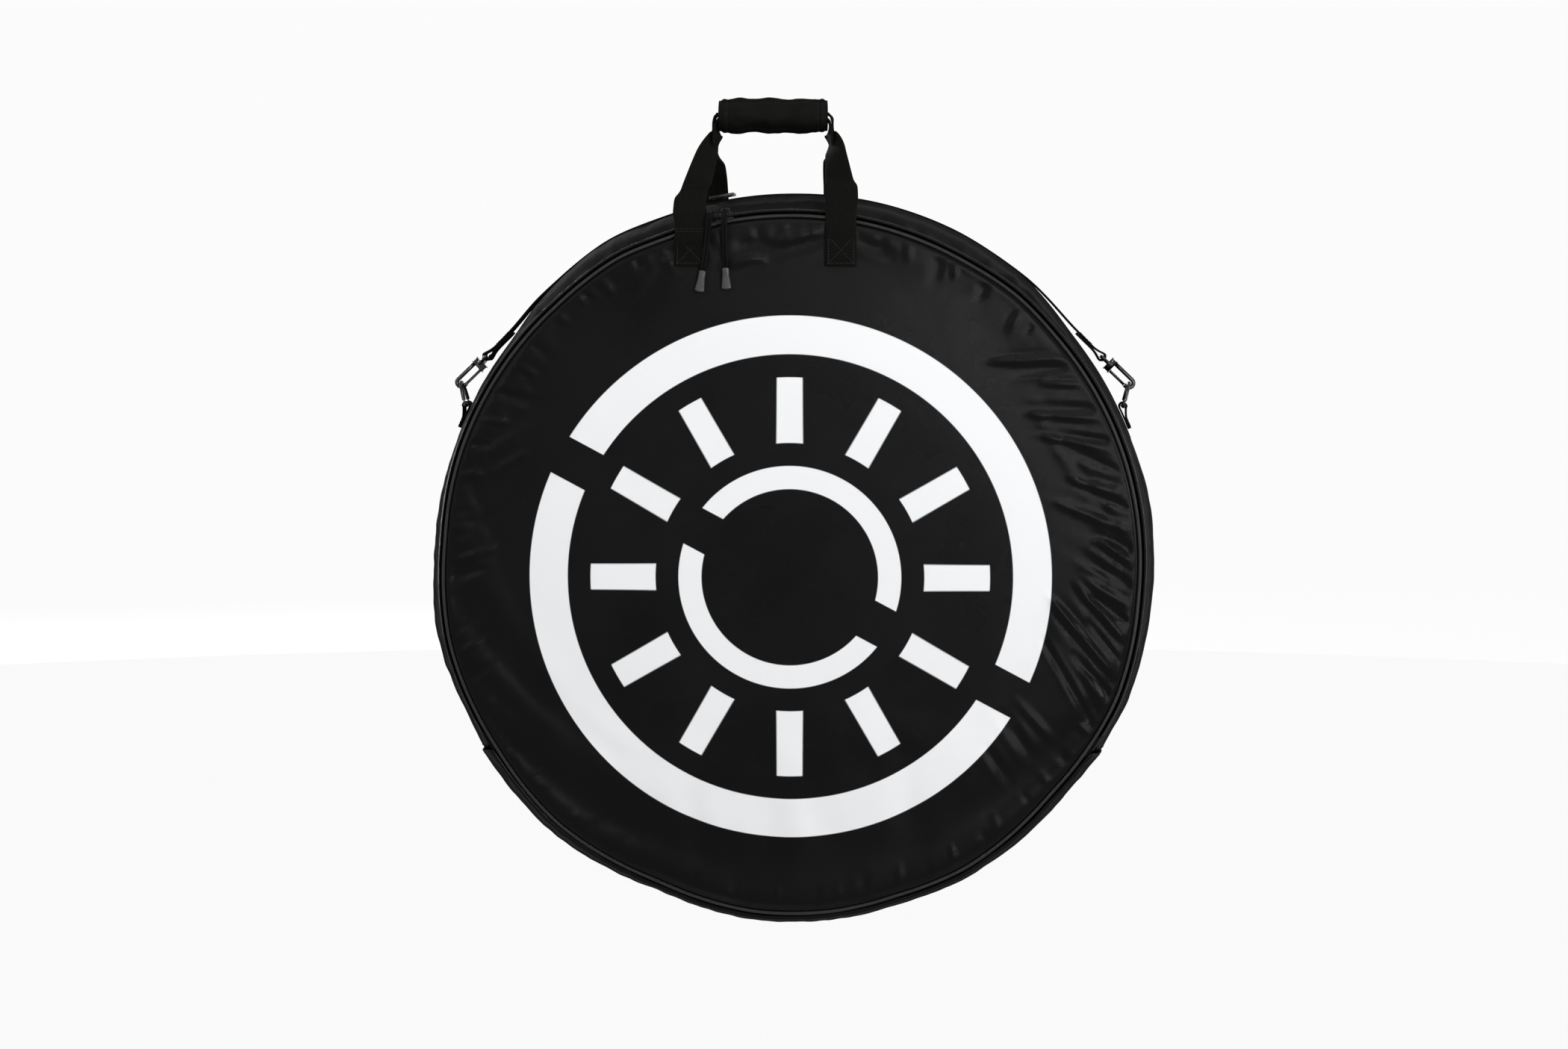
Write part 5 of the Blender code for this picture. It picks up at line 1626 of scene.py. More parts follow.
@dataclass
class Handles:
    """The two carry handles, with the stitches of their patches, and the wrap that joins them."""

    width: float = 32 * MM
    twist_width: float = 27 * MM
    corner_width: float = 24.3 * MM
    grip_width: float = 30.2 * MM
    thickness: float = 2.4 * MM
    standoff: float = 0.4 * MM
    turn_share: float = 0.3
    patch_bottom: float = 690 * MM
    steps: int = 230

    def leg(self, side: int, sign: int, foot_x: float, layer: float, end_gap: float) -> list[Knot]:
        """Knots of one leg, as in the part.

        Args:
            side: -1 in front and 1 behind.
            sign: -1 on the left and 1 on the right.
            foot_x: place of its foot.
            layer: height of its level run over the grip's middle.
            end_gap: how far its corner lies from the grip's end.

        Returns:
            The knots from the foot up.
        """
        foot_y = BAG.face(hypot(foot_x, self.patch_bottom - BAG.centre))
        foot_y += self.thickness / 2 + self.standoff
        edge_z = BAG.centre + sqrt(BAG.panel_radius ** 2 - foot_x ** 2)
        edge_y = BAG.face(BAG.panel_radius) + self.thickness + self.standoff
        corner_x = GRIP.x + sign * (GRIP.length / 2 + end_gap)
        sideways, turned_in = Vector((1, 0, 0)), Vector((0, sign * side, 0))
        corner_z = GRIP.height + layer - self.twist_width * 0.95

        def between(lean: float, depth: float, height: float) -> Vector:
            """The place at shares of the lean, the depth and the height."""
            return Vector((foot_x + (corner_x - foot_x) * lean, side * edge_y * depth,
                           edge_z + (GRIP.height - edge_z) * height))

        straight = [Vector((foot_x, side * foot_y, self.patch_bottom)),
                    Vector((foot_x, side * (foot_y + edge_y) / 2, (self.patch_bottom + edge_z) / 2)),
                    Vector((foot_x, side * edge_y, edge_z)), between(0.15, 0.78, 0.30)]
        return [Knot(place, sideways, self.width) for place in straight] + [
            Knot(between(0.60, 0.40, 0.60), (sideways + turned_in).normalized(), self.twist_width),
            Knot(Vector((corner_x, 0.0, corner_z)),
                 (turned_in - sideways * side * self.turn_share).normalized(), self.corner_width),
        ]

    def run(self, side: int, layer: float, end_gap: float) -> list[Knot]:
        """Knots of the level run inside the grip, as in the part."""
        corner, height = self.thickness * 1.5, GRIP.height + layer
        reach = GRIP.length / 2 + end_gap
        half = [(reach, height - corner * 2, self.corner_width),
                (reach - corner, height - corner / 4, self.twist_width),
                (reach - corner * 4, height, self.grip_width)]
        across = Vector((0, -side, 0))
        left = [Knot(Vector((GRIP.x - x, 0.0, z)), across, w) for x, z, w in half]
        return left + [Knot(Vector((GRIP.x + x, 0.0, z)), across, w) for x, z, w in reversed(half)]

    def handle(self, name: str, side: int, left_x: float, right_x: float, layer: float,
               end_gap: float) -> Obj:
        """Makes one handle.

        Args:
            name: the piece's name.
            side: -1 in front and 1 behind.
            left_x: place of its left foot.
            right_x: place of its right foot.
            layer: height of its level run over the grip's middle.
            end_gap: how far its corners lie from the grip's ends.

        Returns:
            The new piece.
        """
        right = [Knot(k.place, -k.across, k.width)
                 for k in reversed(self.leg(side, 1, right_x, layer, end_gap))]
        route = self.leg(side, -1, left_x, layer, end_gap) + self.run(side, layer, end_gap) + right
        return webbing(name, route, self.thickness, self.steps, WEBBING)

    def patch_stitches(self, name: str, side: int, feet: Sequence[float]) -> Obj:
        """Sews a box with a cross at each foot of a handle.

        Args:
            name: the piece's name.
            side: -1 in front and 1 behind.
            feet: places of the feet.

        Returns:
            The stitches.
        """
        half, low, high = self.width / 2 - 3 * MM, self.patch_bottom + 3 * MM, self.patch_bottom + 30 * MM
        lines = box_lines(half, low, high)
        lines += [((-half, high + extra), (half, high + extra)) for extra in (6 * MM, 8.5 * MM)]
        paths = []
        for foot in feet:
            top = BAG.centre + sqrt(BAG.panel_radius ** 2 - foot ** 2)
            curve = smooth_route([k.place for k in self.leg(side, 1, foot, 0.0, 0.0)[:3]], 24)

            def at(x: float, z: float, foot: float = foot, top: float = top,
                   curve: Sequence[Vector] = curve) -> tuple[Vector, Vector]:
                """A place on the patch, with its outward direction."""
                share = min(max((z - self.patch_bottom) / (top - self.patch_bottom), 0.0), 1.0) * 24
                i = min(int(share), 23)
                y = curve[i].y + (curve[i + 1].y - curve[i].y) * (share - i)
                return Vector((foot + x, y + side * (self.thickness / 2 + 0.1 * MM), z)), Vector((0, side, 0))

            paths += sewn(lines, at, 12)
        return BOX_STITCHES.lay(name, paths)

    @staticmethod
    def lumps(place: Vector) -> float:
        """How far the padding of the wrap stands out at a place."""
        return 1.5 * MM * ripple(place, 21 * MM, 2.0) + 0.7 * MM * ripple(place, 8 * MM, 5.0)

    def wrap(self, name: str, start: float, end: float, finish: Finish) -> Obj:
        """Makes a stretch of the padded wrap, lumpy and rounded at its ends.

        Args:
            name: the piece's name.
            start: first angle about its middle, from the front.
            end: last angle.
            finish: its surface.

        Returns:
            The new piece.
        """
        along, around = 64, max(int((end - start) / 5), 12)
        rows = []
        for i in range(along + 1):
            share = i / along
            x = GRIP.x - GRIP.length / 2 + GRIP.length * share
            tip = min(share, 1 - share) * GRIP.length
            round_off = 3.2 * MM * (1 - smoothstep(tip, 0.0, 6 * MM)) ** 1.5
            hem = 0.9 * MM * exp(-((tip - 9 * MM) / (1.6 * MM)) ** 2)
            outer, inner = [], []
            for k in range(around + 1):
                turn = radians(start + (end - start) * k / around)
                edge = min(k, around - k) / around * radians(end - start) * GRIP.depth / 2
                seam = 0.8 * MM * exp(-((edge - 3.2 * MM) / (1.0 * MM)) ** 2)
                place = GRIP.around(x, turn)
                pleats = sin(x / (5.2 * MM) + 2.0 * ripple(place, 30 * MM, 3.0)) * (cos(turn) > -0.4)
                lump = self.lumps(place) + 0.5 * MM * pleats
                grow = lump - round_off - hem - seam + 0.6 * MM
                grow -= 0.9 * MM * (1 - smoothstep(edge, 0.0, 1.6 * MM))
                outer.append(GRIP.around(x, turn, grow))
                wall = min(GRIP.wall, GRIP.wall + grow - 0.9 * MM)
                inner.append(GRIP.around(x, turn, -max(wall, 1.4 * MM)))
            rows.append(outer + inner[::-1])
        return grid_object(name, rows, finish, lambda i, j: (i * 1.8 * MM, j * 1.7 * MM),
                           closed=True, caps=True)

    def wrap_stitches(self) -> None:
        """Sews lines along the hems of the wrap's front and base."""
        for name, body, low, high in (
                ("grip_stitches_front", "wrap_front", GRIP.open_base + 7, GRIP.open_top - 7),
                ("grip_stitches_base", "root", GRIP.open_top + 10, 360 + GRIP.open_base - 10)):
            paths = []
            for end in (-1, 1):
                x = GRIP.x + end * (GRIP.length / 2 - 9 * MM)
                path = []
                for k in range(41):
                    turn = radians(low + (high - low) * k / 40)
                    out, place = Vector((0, -cos(turn), sin(turn))), GRIP.around(x, turn)
                    path.append((place + out * (self.lumps(place) - 0.3 * MM), out))
                paths.append(path)
            seat(STITCHES.lay(name, paths), body)

    def build(self) -> None:
        """Builds both handles, their stitches and the wrap."""
        for name, side, feet, layer, end_gap, body in (
                ("front", -1, (-103.5 * MM, 53 * MM), 1.75 * MM, 5.4 * MM, "flap"),
                ("back", 1, (-90 * MM, 46 * MM), -1.75 * MM, 2.5 * MM, "root")):
            seat(self.handle(f"handle_{name}_web", side, *feet, layer, end_gap), body, f"handle_{name}")
            seat(self.patch_stitches(f"handle_stitches_{name}", side, feet), body)
        for name, body, start, end in (
                ("front", "wrap_front", GRIP.open_base, GRIP.open_top),
                ("base", "root", GRIP.open_top + GRIP.gap, 360 + GRIP.open_base - GRIP.gap)):
            seat(self.wrap(f"grip_wrap_{name}_pad", start, end, GRIP_NYLON), body, f"grip_wrap_{name}",
                 fill=0.7)
        self.wrap_stitches()


# --- shoulder strap, hooks and rings


@dataclass
class Strap:
    """The shoulder strap, with its hooks, rings, tabs and adjuster."""

    width: float = 30 * MM
    thickness: float = 2.2 * MM
    lift: float = 1 * MM
    press: float = 2.0 * MM
    ring_angle: float = 25.5
    ring_lean: float = radians(40)
    ring_wire: float = 4 * MM
    ring_width: float = 27 * MM
    ring_depth: float = 21 * MM
    tab_width: float = 24 * MM
    tab_thickness: float = 1.6 * MM
    tab_length: float = 24 * MM
    hook_wire: float = 4.5 * MM
    hook_length: float = 24 * MM
    eye_wire: float = 3.6 * MM
    eye_length: float = 12 * MM
    steps: int = 420

    @property
    def radius(self) -> float:
        """Radius of the strap's middle where it lies on the gusset."""
        return BAG.outer_radius + self.lift + self.thickness / 2

    @property
    def bend(self) -> float:
        """Radius of a hook's bow."""
        return (self.ring_wire + self.hook_wire) / 2 + 0.5 * MM

    @property
    def eye_bar(self) -> Vector:
        """Middle of the right hook's far bar, which the strap folds round."""
        start, direction, _, _ = self.hook_line()
        return start + direction * (self.hook_length + self.hook_wire + self.eye_length)

    @property
    def ring_bar(self) -> Vector:
        """Middle of the right ring's straight bar."""
        gap = 1.3 * MM
        return BAG.rim(BAG.outer_radius + self.tab_thickness + gap + self.ring_wire / 2, self.ring_angle)

    @property
    def ring_out(self) -> Vector:
        """Direction from the right ring's bar to its far end."""
        turn = radians(self.ring_angle)
        turn += pi / 2 - self.ring_lean
        return Vector((cos(turn), 0, sin(turn)))

    def hook_line(self) -> tuple[Vector, Vector, Vector, float]:
        """The right hook's start, its direction, its outward normal and where the strap meets the rim."""
        start = self.ring_bar + self.ring_out * (self.ring_depth + self.ring_wire)
        reach = start - Vector((0, 0, BAG.centre))
        touch = atan2(reach.z, reach.x) + acos(self.radius / reach.length)
        direction = (BAG.rim(self.radius, degrees(touch)) - start).normalized()
        return start, direction, Vector((direction.z, 0, -direction.x)), degrees(touch)

    def strap_end(self) -> list[Vector]:
        """Knots of the right strap end, folded round the hook's eye."""
        _, direction, normal, _ = self.hook_line()
        turn = self.eye_wire / 2 + 1 * MM + self.thickness / 2
        tail = direction * self.width * 1.2
        layer = normal * (self.thickness + 0.3 * MM) / 2
        bar, near = self.eye_bar, direction * turn * 3
        knots = [bar + tail - layer, bar + near - layer]
        for step in range(7):
            angle = pi * step / 6
            knots.append(bar - normal * turn * cos(angle) - direction * turn * sin(angle))
        return knots + [bar + near + layer, bar + tail + layer]

    def strap(self) -> Obj:
        """Makes the strap over the top of the bag, between the two hooks."""
        end = self.strap_end()
        touch = self.hook_line()[3]
        rest = self.radius - self.press
        over = [BAG.rim(rest if 0 < i < 12 else self.radius, touch + (180 - 2 * touch) * i / 12)
                for i in range(13)]
        left = [flipped(p, -1) for p in reversed(end)]
        route = [Knot(p, DEPTH, self.width) for p in end + over + left]
        return webbing("shoulder_strap_web", route, self.thickness, self.steps, WEBBING)

    def end_stitches(self) -> Obj:
        """Sews two crossing lines and two straight ones through the strap's folded ends."""
        _, direction, normal, _ = self.hook_line()
        top = normal * (self.thickness * 1.5 + 0.25 * MM - 1.0 * MM)
        half, low, high = self.width / 2 - 3 * MM, 17 * MM, 33 * MM
        lines = [((-half, low), (half, low)), ((-half, high), (half, high)), ((-half, low), (half, high)),
                 ((half, low), (-half, high)), ((-half, low), (-half, high)), ((half, low), (half, high))]
        paths = []
        for sign in (-1, 1):
            def at(y: float, along: float, sign: int = sign) -> tuple[Vector, Vector]:
                """A place on the strap's end, with its outward direction."""
                place = self.eye_bar + direction * along + top
                return Vector((sign * place.x, y, place.z)), flipped(normal, sign)
            paths += sewn(lines, at, 8)
        return BOX_STITCHES.lay("strap_end_stitches", paths)

    def tab(self, side: str, sign: int) -> Obj:
        """Makes a ring's webbing tab, folded round the ring's bar.

        Args:
            side: left or right.
            sign: -1 on the left and 1 on the right.

        Returns:
            The new piece.
        """
        eye = self.ring_wire / 2 + 1 * MM + self.tab_thickness / 2
        base = BAG.outer_radius + 0.3 * MM + self.tab_thickness / 2
        length = degrees(self.tab_length / BAG.outer_radius)
        places = [BAG.rim(base, self.ring_angle - length * share) for share in (1.0, 0.66, 0.33)]
        for angle in range(-90, 151, 30):
            turn = radians(self.ring_angle + 90 - angle)
            places.append(self.ring_bar + Vector((cos(turn), 0, sin(turn))) * eye)
        base += self.tab_thickness + 0.3 * MM
        places += [BAG.rim(base, self.ring_angle - length * share) for share in (0.55, 1.0)]
        route = [Knot(flipped(p, sign), DEPTH, self.tab_width) for p in places]
        return webbing(f"ring_tab_{side}_web", route, self.tab_thickness, 110, WEBBING)

    def tab_stitches(self, side: str, sign: int) -> Obj:
        """Sews a small box through a ring's tab.

        Args:
            side: left or right.
            sign: -1 on the left and 1 on the right.

        Returns:
            The stitches.
        """
        radius = BAG.outer_radius + 0.6 * MM + self.tab_thickness * 2 + 0.1 * MM
        degree = degrees(1 / BAG.outer_radius)

        def at(y: float, along: float) -> tuple[Vector, Vector]:
            """A place on the tab, with its outward direction."""
            place = BAG.rim(radius, self.ring_angle - along * degree)
            return Vector((sign * place.x, y, place.z)), flipped(outward(place), sign)

        lines = box_lines(self.tab_width / 2 - 3 * MM, 9 * MM, self.tab_length - 2.5 * MM)
        return BOX_STITCHES.lay(f"tab_stitches_{side}", sewn(lines, at, 8))

    def ring(self, side: str, sign: int) -> Obj:
        """Makes a ring's round wire, as in the part, with smooth bends."""
        half = (self.ring_width + self.ring_wire) / 2
        corner, reach = self.ring_wire, self.ring_depth + self.ring_wire
        bar, out, depth = self.ring_bar, self.ring_out, DEPTH
        points = [bar + depth * (half - corner) * share for share in (-1, -0.5, 0, 0.5, 1)]
        points += [bar + depth * (half - corner * 0.3) + out * corner * 0.3]
        for step in range(33):
            turn = pi * step / 32
            points.append(bar + depth * half * cos(turn)
                          + out * (corner + (reach - corner) * sin(turn)))
        points += [bar - depth * (half - corner * 0.3) + out * corner * 0.3]
        return tube(f"d_ring_{side}_wire", [flipped(p, sign) for p in points], self.ring_wire, METAL, 14,
                    closed=True, upright=flipped(out, sign))

    def hook(self, side: str, sign: int) -> Obj:
        """Makes a snap hook's bow, block and eye, as in the part, with rounded edges.

        Args:
            side: left or right.
            sign: -1 on the left and 1 on the right.

        Returns:
            The new piece.
        """
        start, direction, normal, _ = self.hook_line()
        bend, depth = self.bend, DEPTH
        bow = [start + direction * (self.hook_length + self.hook_wire / 2) + normal * bend,
               start + direction * self.hook_length / 2 + normal * bend]
        for step in range(17):
            turn = pi * step / 16
            bow.append(start + normal * bend * cos(turn) - direction * bend * sin(turn))
        bow.append(start - normal * bend + direction * self.hook_wire / 2)
        half = self.width / 2 + self.eye_wire * 1.5
        far = self.eye_bar
        near = far - direction * self.eye_length
        loop, corner = [], self.eye_wire
        for along, wide, at in ((-1, -1, near), (-1, 1, near), (1, 1, far), (1, -1, far)):
            middle = at - direction * along * corner + depth * wide * (half - corner)
            for step in range(5):
                turn = pi / 2 * step / 4
                first, second = (direction * along, depth * wide)
                if along * wide < 0:
                    first, second = second, first
                loop.append(middle + first * corner * cos(turn) + second * corner * sin(turn))
        base, length = start + direction * self.hook_length, self.hook_wire * 1.5
        return join(f"snap_hook_{side}_body", [
            tube(f"hook_bow_{side}", [flipped(p, sign) for p in bow], self.hook_wire, METAL, 14),
            tube(f"hook_eye_{side}", [flipped(p, sign) for p in loop], self.eye_wire, METAL, 12,
                 closed=True, upright=flipped(normal, sign)),
            self.block("hook_block", base, direction * length,
                       (bend * 2 + self.hook_wire, self.hook_wire * 2), 1.2 * MM, sign)])

    def block(self, name: str, base: Vector, along: Vector, size: tuple[float, float], rounding: float,
              sign: int) -> Obj:
        """Makes a block of metal with rounded edges.

        Args:
            name: the piece's name.
            base: middle of its near end on the right side.
            along: from there to its far end.
            size: its height along the hook's normal, and its width.
            rounding: width of the rounding.
            sign: -1 on the left and 1 on the right.

        Returns:
            The new piece.
        """
        normal = self.hook_line()[2]
        bm = bmesh.new()
        bmesh.ops.create_cube(bm, size=1.0)
        for vert in bm.verts:
            a, b, c = vert.co
            place = base + along * (a + 0.5) + normal * b * size[0] + Vector((0, c * size[1], 0))
            vert.co = flipped(place, sign)
        bmesh.ops.bevel(bm, geom=bm.edges[:], offset=rounding, segments=4, profile=0.6, affect="EDGES")
        return finished(name, bm, METAL)

    def gate(self, side: str, sign: int) -> Obj:
        """Makes a hook's spring gate with rounded edges.

        Args:
            side: left or right.
            sign: -1 on the left and 1 on the right.

        Returns:
            The new piece.
        """
        start, direction, normal, _ = self.hook_line()
        near, far = self.hook_wire / 2 + 0.5 * MM, self.hook_length - 0.5 * MM
        high = self.hook_wire * 2 / 3
        return self.block(f"hook_gate_{side}_bar", start - normal * self.bend + direction * near,
                          direction * (far - near), (high, high), 0.9 * MM, sign)

    @staticmethod
    def adjuster(node: Obj) -> None:
        """Rounds the strap's length adjuster and seats it on the strap.

        Args:
            node: the part's own adjuster.
        """
        made = placed("strap_adjuster_plate", node.data.copy())
        weld(made)
        edges = made.modifiers.new("rounding", "BEVEL")
        edges.width, edges.segments, edges.limit_method = 0.7 * MM, 3, "ANGLE"
        seat(dressed(settle(made), PLASTIC), "root", "strap_adjuster")

    def build(self, nodes: dict[str, Obj]) -> None:
        """Builds the strap and its hardware on their bodies.

        Args:
            nodes: the CAD nodes by name.
        """
        seat(self.strap(), "root", "shoulder_strap")
        seat(self.end_stitches(), "root")
        for side, sign in SIDES:
            seat(self.tab(side, sign), "root", f"ring_tab_{side}")
            seat(self.tab_stitches(side, sign), "root")
            seat(self.ring(side, sign), f"ring_{side}", f"d_ring_{side}")
            seat(self.hook(side, sign), f"hook_{side}", f"snap_hook_{side}")
            seat(self.gate(side, sign), f"gate_{side}", f"hook_gate_{side}")
        self.adjuster(nodes["strap_adjuster"])


def join(name: str, pieces: Sequence[Obj]) -> Obj:
    """Joins pieces of one finish into one object.

    Args:
        name: the joined piece's name.
        pieces: what goes into it.

    Returns:
        The joined piece.
    """
    bm = bmesh.new()
    material, slot = pieces[0].data.materials[0], pieces[0]["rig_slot"]
    for piece in pieces:
        bm.from_mesh(piece.data)
        bpy.data.objects.remove(piece)
    obj = placed(name, mesh_of(name, bm))
    obj.data.materials.append(material)
    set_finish(obj, slot)
    return obj


# --- zip pulls


@dataclass
class Pulls:
    """The cord pulls on the two sliders, with their ribbed tips."""

    slider_length: float = 14 * MM
    meet_angle: float = 11.6
    eye_radius: float = 375.9 * MM
    cord: float = 3 * MM
    strand_gap: float = 0.3 * MM
    drop: float = 58 * MM
    tip_length: float = 23 * MM
    tip_neck: float = 7 * MM
    tip_width: float = 10 * MM
    tip_thickness: float = 5 * MM

    def route(self, side: str) -> list[Vector]:
        """Points along a pull, as in the part."""
        offset = degrees((self.slider_length + 1 * MM) / 2 / BAG.teeth_top)
        angle = 90 + self.meet_angle + (offset if side == "left" else -offset)
        shift = -self.slider_length / 2 if side == "left" else self.slider_length / 8
        eye = BAG.rim(self.eye_radius, angle, BAG.zip_line - 1.2 * MM - self.cord / 2 - 0.3 * MM)
        low = self.eye_radius - self.drop - self.tip_length
        hang = -(BAG.face(low) + self.tip_thickness / 2 + 0.4 * MM)
        turn = 2.5 * self.cord
        knots = [eye, Vector((eye.x, (eye.y + hang + turn) / 2, eye.z + turn / 6)),
                 Vector((eye.x, hang + turn * 2 / 5, eye.z - turn / 5))]
        for sideways, drop in ((0.15, 0.16), (0.55, 0.65), (1.0, 1.0)):
            knots.append(Vector((eye.x + shift * sideways, hang, eye.z - self.drop * drop)))
        return smooth_route(knots, 30)

    @property
    def pair_width(self) -> float:
        """Width of the two strands side by side."""
        return self.cord * 2 + self.strand_gap

    def doubled(self, side: str, points: list[Vector]) -> Obj:
        """Makes the loop of cord whose two strands hang side by side and turn a little.

        Args:
            side: left or right.
            points: the middle of the pair, from the slider's eye down.

        Returns:
            The new piece.
        """
        strands = []
        across, heads = Vector((1, 0, 0)), directions(points)
        for sign in (-1, 1):
            path = []
            for i, (point, head) in enumerate(zip(points, heads)):
                share = i / (len(points) - 1)
                turn = 0.55 * sin(tau * share + (0.6 if side == "left" else 2.4))
                out = head.cross(across).normalized()
                apart = (self.cord + self.strand_gap) / 2 * (0.45 + 0.55 * smoothstep(share, 0.0, 0.15))
                path.append(point + (across * cos(turn) + out * sin(turn)) * sign * apart)
            strands.append(tube("strand", path, self.cord, CORD, 12, upright=across))
        return join(f"pull_cord_{side}_braid", strands)

    def tip(self, side: str, start: Vector, down: Vector) -> Obj:
        """Makes a moulded tip with a neck, ribs and a rounded foot.

        Args:
            side: left or right.
            start: where it begins.
            down: the direction in which it hangs.

        Returns:
            The new piece.
        """
        across = Vector((1, 0, 0))
        across = (across - down * across.dot(down)).normalized()
        out = down.cross(across)
        rows, steps = [], 60
        for i in range(steps + 1):
            share = i / steps
            width = self.tip_neck + (self.tip_width - self.tip_neck) * smoothstep(share, 0.2, 0.95)
            thick = self.tip_thickness * (1 - 0.2 * share)
            if 0.30 < share < 0.86:
                groove = 0.5 + 0.5 * cos((share - 0.30) / 0.07 * tau)
                width, thick = width - 0.7 * MM * groove, thick - 0.7 * MM * groove
            close = min(share, 1 - share) * self.tip_length
            rounding = 1 - 0.55 * (1 - smoothstep(close, 0.0, 1.8 * MM)) ** 2
            ring = []
            for k in range(24):
                turn = tau * k / 24
                c, s = cos(turn), sin(turn)
                x = copysign(abs(c) ** 0.55, c) * width / 2 * rounding
                y = copysign(abs(s) ** 0.55, s) * thick / 2 * rounding
                ring.append(start + down * self.tip_length * share + across * x + out * y)
            rows.append(ring)
        return grid_object(f"pull_tip_{side}_moulding", rows, GREY_TIP,
                           lambda i, j: (j * 1 * MM, i * 0.4 * MM), closed=True, caps=True)

    def build(self) -> None:
        """Builds both pulls on their bodies."""
        for side in ("left", "right"):
            points = self.route(side)
            down = (points[-1] - points[-2]).normalized()
            cord = seat(self.doubled(side, points), f"pull_{side}", f"pull_cord_{side}")
            tip = seat(self.tip(side, points[-1] + down * 0.3 * MM, down), f"pull_{side}", f"pull_tip_{side}")
            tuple(points[0])
            distances(points)[-1]
            self.pair_width


# --- inside


@dataclass
class Inside:
    """The padded divider between two wheels and the hub protectors."""

    radius: float = 350 * MM
    thickness: float = 6 * MM
    hem: float = 10.6 * MM
    quilt_pitch: float = 82 * MM
    rings: int = 52

    def divider(self) -> Obj:
        """Makes the quilted divider with its bound edge."""
        def at(side: int, x: float, z: float) -> Vector:
            """A point on one side of it."""
            r = hypot(x, z)
            half = self.thickness / 2 - quilt(x, z, self.quilt_pitch) * 1.5 * MM
            half += 0.5 * MM * ripple(Vector((x, side * 0.1, z)), 60 * MM) - 0.4 * MM
            rim = smoothstep(r, self.radius - 15 * MM, self.radius - 12 * MM)
            half = half * (1 - rim) + (self.thickness / 2 - 0.3 * MM) * rim
            half -= 1.9 * MM * smoothstep(r, self.radius - 5 * MM, self.radius) ** 2
            return Vector((x, side * min(half, self.thickness / 2), self.hem + self.radius + z))

        skins = (partial(at, -1), partial(at, 1))
        return disc_shell("wheel_divider_pad", self.radius, self.rings, skins, QUILT)

    def build(self, nodes: dict[str, Obj]) -> None:
        """Builds the divider and dresses the hub protectors.

        Args:
            nodes: the CAD nodes by name.
        """
        seat(self.divider(), "divider", "wheel_divider", fill=0.5)
        paths = []
        for side in (-1, 1):
            level = side * (self.thickness / 2 - 0.45 * MM)
            lift = Vector((0, level, self.hem + self.radius - BAG.centre))
            paths.append([(BAG.rim(self.radius - 11 * MM, 2 * i) + lift, Vector((0, side, 0)))
                          for i in range(181)])
        seat(STITCHES.lay("divider_stitches", paths), "divider")
        for name in ("hub_protector_front", "hub_protector_back"):
            dress_node(nodes[name], PLASTIC)


# --- stage


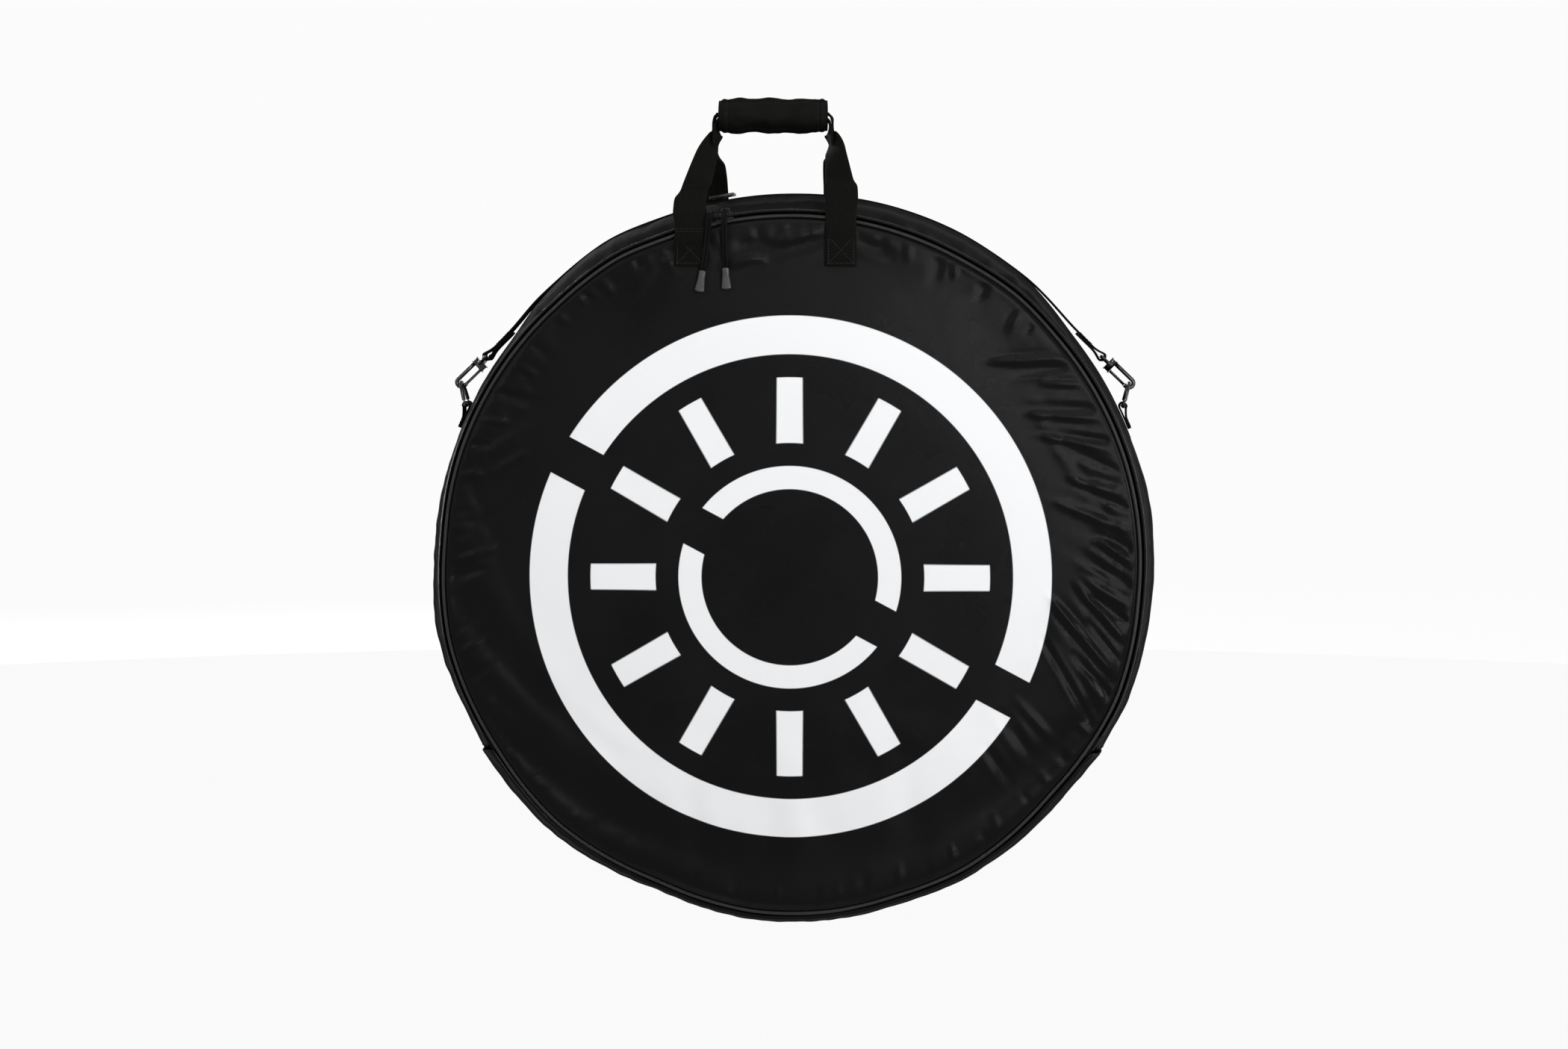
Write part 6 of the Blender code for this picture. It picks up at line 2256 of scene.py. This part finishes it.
@dataclass
class Stage:
    """The pale floor, the soft light and the camera at the photograph's angle."""

    lens: float = 85.0
    frame_width: float = 1.63
    aim: tuple[float, float, float] = (-6 * MM, -80 * MM, 422 * MM)
    azimuth: float = radians(3.0)
    elevation: float = radians(3.6)

    def camera(self) -> None:
        """Makes the camera."""
        data = bpy.data.cameras.new("camera")
        data.lens, data.sensor_width = self.lens, 36.0
        data.clip_end = 100.0
        away = self.frame_width * self.lens / data.sensor_width
        back = Vector((sin(self.azimuth) * cos(self.elevation),
                       -cos(self.azimuth) * cos(self.elevation), sin(self.elevation)))
        camera = placed("camera", data)
        camera.location = Vector(self.aim) + back * away
        camera.rotation_euler = (-back).to_track_quat("-Z", "Y").to_euler()
        bpy.context.scene.camera = camera

    def floor(self) -> None:
        """Makes a floor that curves up into a pale backdrop all round, mostly white where it is seen."""
        bm = bmesh.new()
        profile = [(3.0, 0.0), (6.0, 0.0)]
        profile += [(6.0 + 2.0 * sin(pi / 2 * i / 12), 2.0 - 2.0 * cos(pi / 2 * i / 12))
                    for i in range(1, 13)]
        profile += [(8.0, 6.0)]
        rings = []
        for radius, height in profile:
            rings.append([bm.verts.new((radius * cos(tau * k / 64),
                                        radius * sin(tau * k / 64), height)) for k in range(64)])
        bm.faces.new(rings[0])
        for low, high in zip(rings, rings[1:]):
            for k in range(64):
                bm.faces.new((low[k], low[(k + 1) % 64], high[(k + 1) % 64], high[k]))
        pale = bpy.data.materials.new("pale_floor")
        self.white_where_seen(pale, ("ShaderNodeBsdfDiffuse", {"Color": FLOOR_COLOUR}), "ShaderNodeEmission",
                              FLOOR_GLOW, "ShaderNodeOutputMaterial")
        floor = placed("studio_floor", mesh_of("studio_floor", bm))
        floor.data.materials.append(pale)
        floor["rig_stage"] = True

    @staticmethod
    def seen_directly(web: NodeWeb) -> Socket:
        """Gives 1 for what the camera sees itself or in a mirror or glass."""
        path = web.add("ShaderNodeLightPath")
        seen = web.math("MAXIMUM", path.outputs["Is Camera Ray"], path.outputs["Is Glossy Ray"])
        return web.math("MAXIMUM", seen, path.outputs["Is Transmission Ray"])

    def white_where_seen(self, owner: Union[bpy.types.Material, bpy.types.World], surface: tuple[str, dict],
                         white: str, share: float, output: str) -> None:
        """Gives a surface or the world its own light, and white where it is seen.

        Args:
            owner: the material or the world.
            surface: node type and inputs of its own light.
            white: node type of the white.
            share: how much of the white is seen.
            output: node type of the output.
        """
        owner.use_nodes = True
        owner.node_tree.nodes.clear()
        web = NodeWeb(owner.node_tree)
        own = web.add(surface[0], None, surface[1])
        plain = web.add(white, None, {"Color": (1, 1, 1, 1), "Strength": 1.0})
        factor = web.math("MULTIPLY", self.seen_directly(web), share)
        mixed = web.add("ShaderNodeMixShader", None, {0: factor, 1: own.outputs[0], 2: plain.outputs[0]})
        web.add(output, None, {0: mixed.outputs[0]})

    def world(self) -> None:
        """Makes the even light from all round, white where it is seen."""
        world = bpy.data.worlds.new("studio")
        light = {"Color": (1, 1, 1, 1), "Strength": WORLD_LIGHT}
        self.white_where_seen(world, ("ShaderNodeBackground", light), "ShaderNodeBackground", 1.0,
                              "ShaderNodeOutputWorld")
        bpy.context.scene.world = world

    def lamp(self, name: str, place: tuple[float, float, float], size: float, power: float) -> None:
        """Makes a soft square lamp that faces the bag.

        Args:
            name: the lamp's name.
            place: where it stands.
            size: length of its sides.
            power: its power in watts.
        """
        data = bpy.data.lights.new(name, "AREA")
        data.shape, data.size, data.energy = "SQUARE", size, power
        lamp = placed(name, data)
        lamp.location = place
        lamp.rotation_euler = (Vector((0, 0, 0.40)) - Vector(place)).to_track_quat("-Z", "Y").to_euler()

    def build(self) -> None:
        """Builds the whole stage."""
        self.camera()
        self.floor()
        self.world()
        for lamp in LAMPS:
            self.lamp(*lamp)
        bpy.context.scene.view_settings.view_transform = "Standard"


FLOOR_COLOUR = (0.86, 0.86, 0.86, 1.0)
FLOOR_GLOW = 0.95
WORLD_LIGHT = 0.34
LAMPS = (("key_light", (1.45, -3.5, 1.0), 0.5, 78.0), ("fill_light", (-2.4, -3.0, 1.9), 0.8, 22.0),
         ("top_light", (0.2, -2.4, 3.1), 0.6, 26.0), ("back_light", (-1.5, 3.2, 1.7), 0.9, 85.0),
         ("side_light", (3.4, -0.5, 0.9), 1.0, 50.0))


def main() -> None:
    """Builds the stage and every sub-assembly, and reports each piece."""
    logging.basicConfig(level=logging.INFO, format="%(name)s: %(message)s")
    nodes = frame["nodes"]
    Stage().build()
    Pulls().build()
    Panels().build()
    Gusset().build()
    Zip().build(nodes)
    Handles().build()
    Strap().build(nodes)
    Inside().build(nodes)
    for piece in sorted(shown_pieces(), key=lambda p: p.name):
        LOG.info("%s on %s: %d faces", piece.name, body_of(piece), len(piece.data.polygons))


if __name__ == "__main__":
    main()
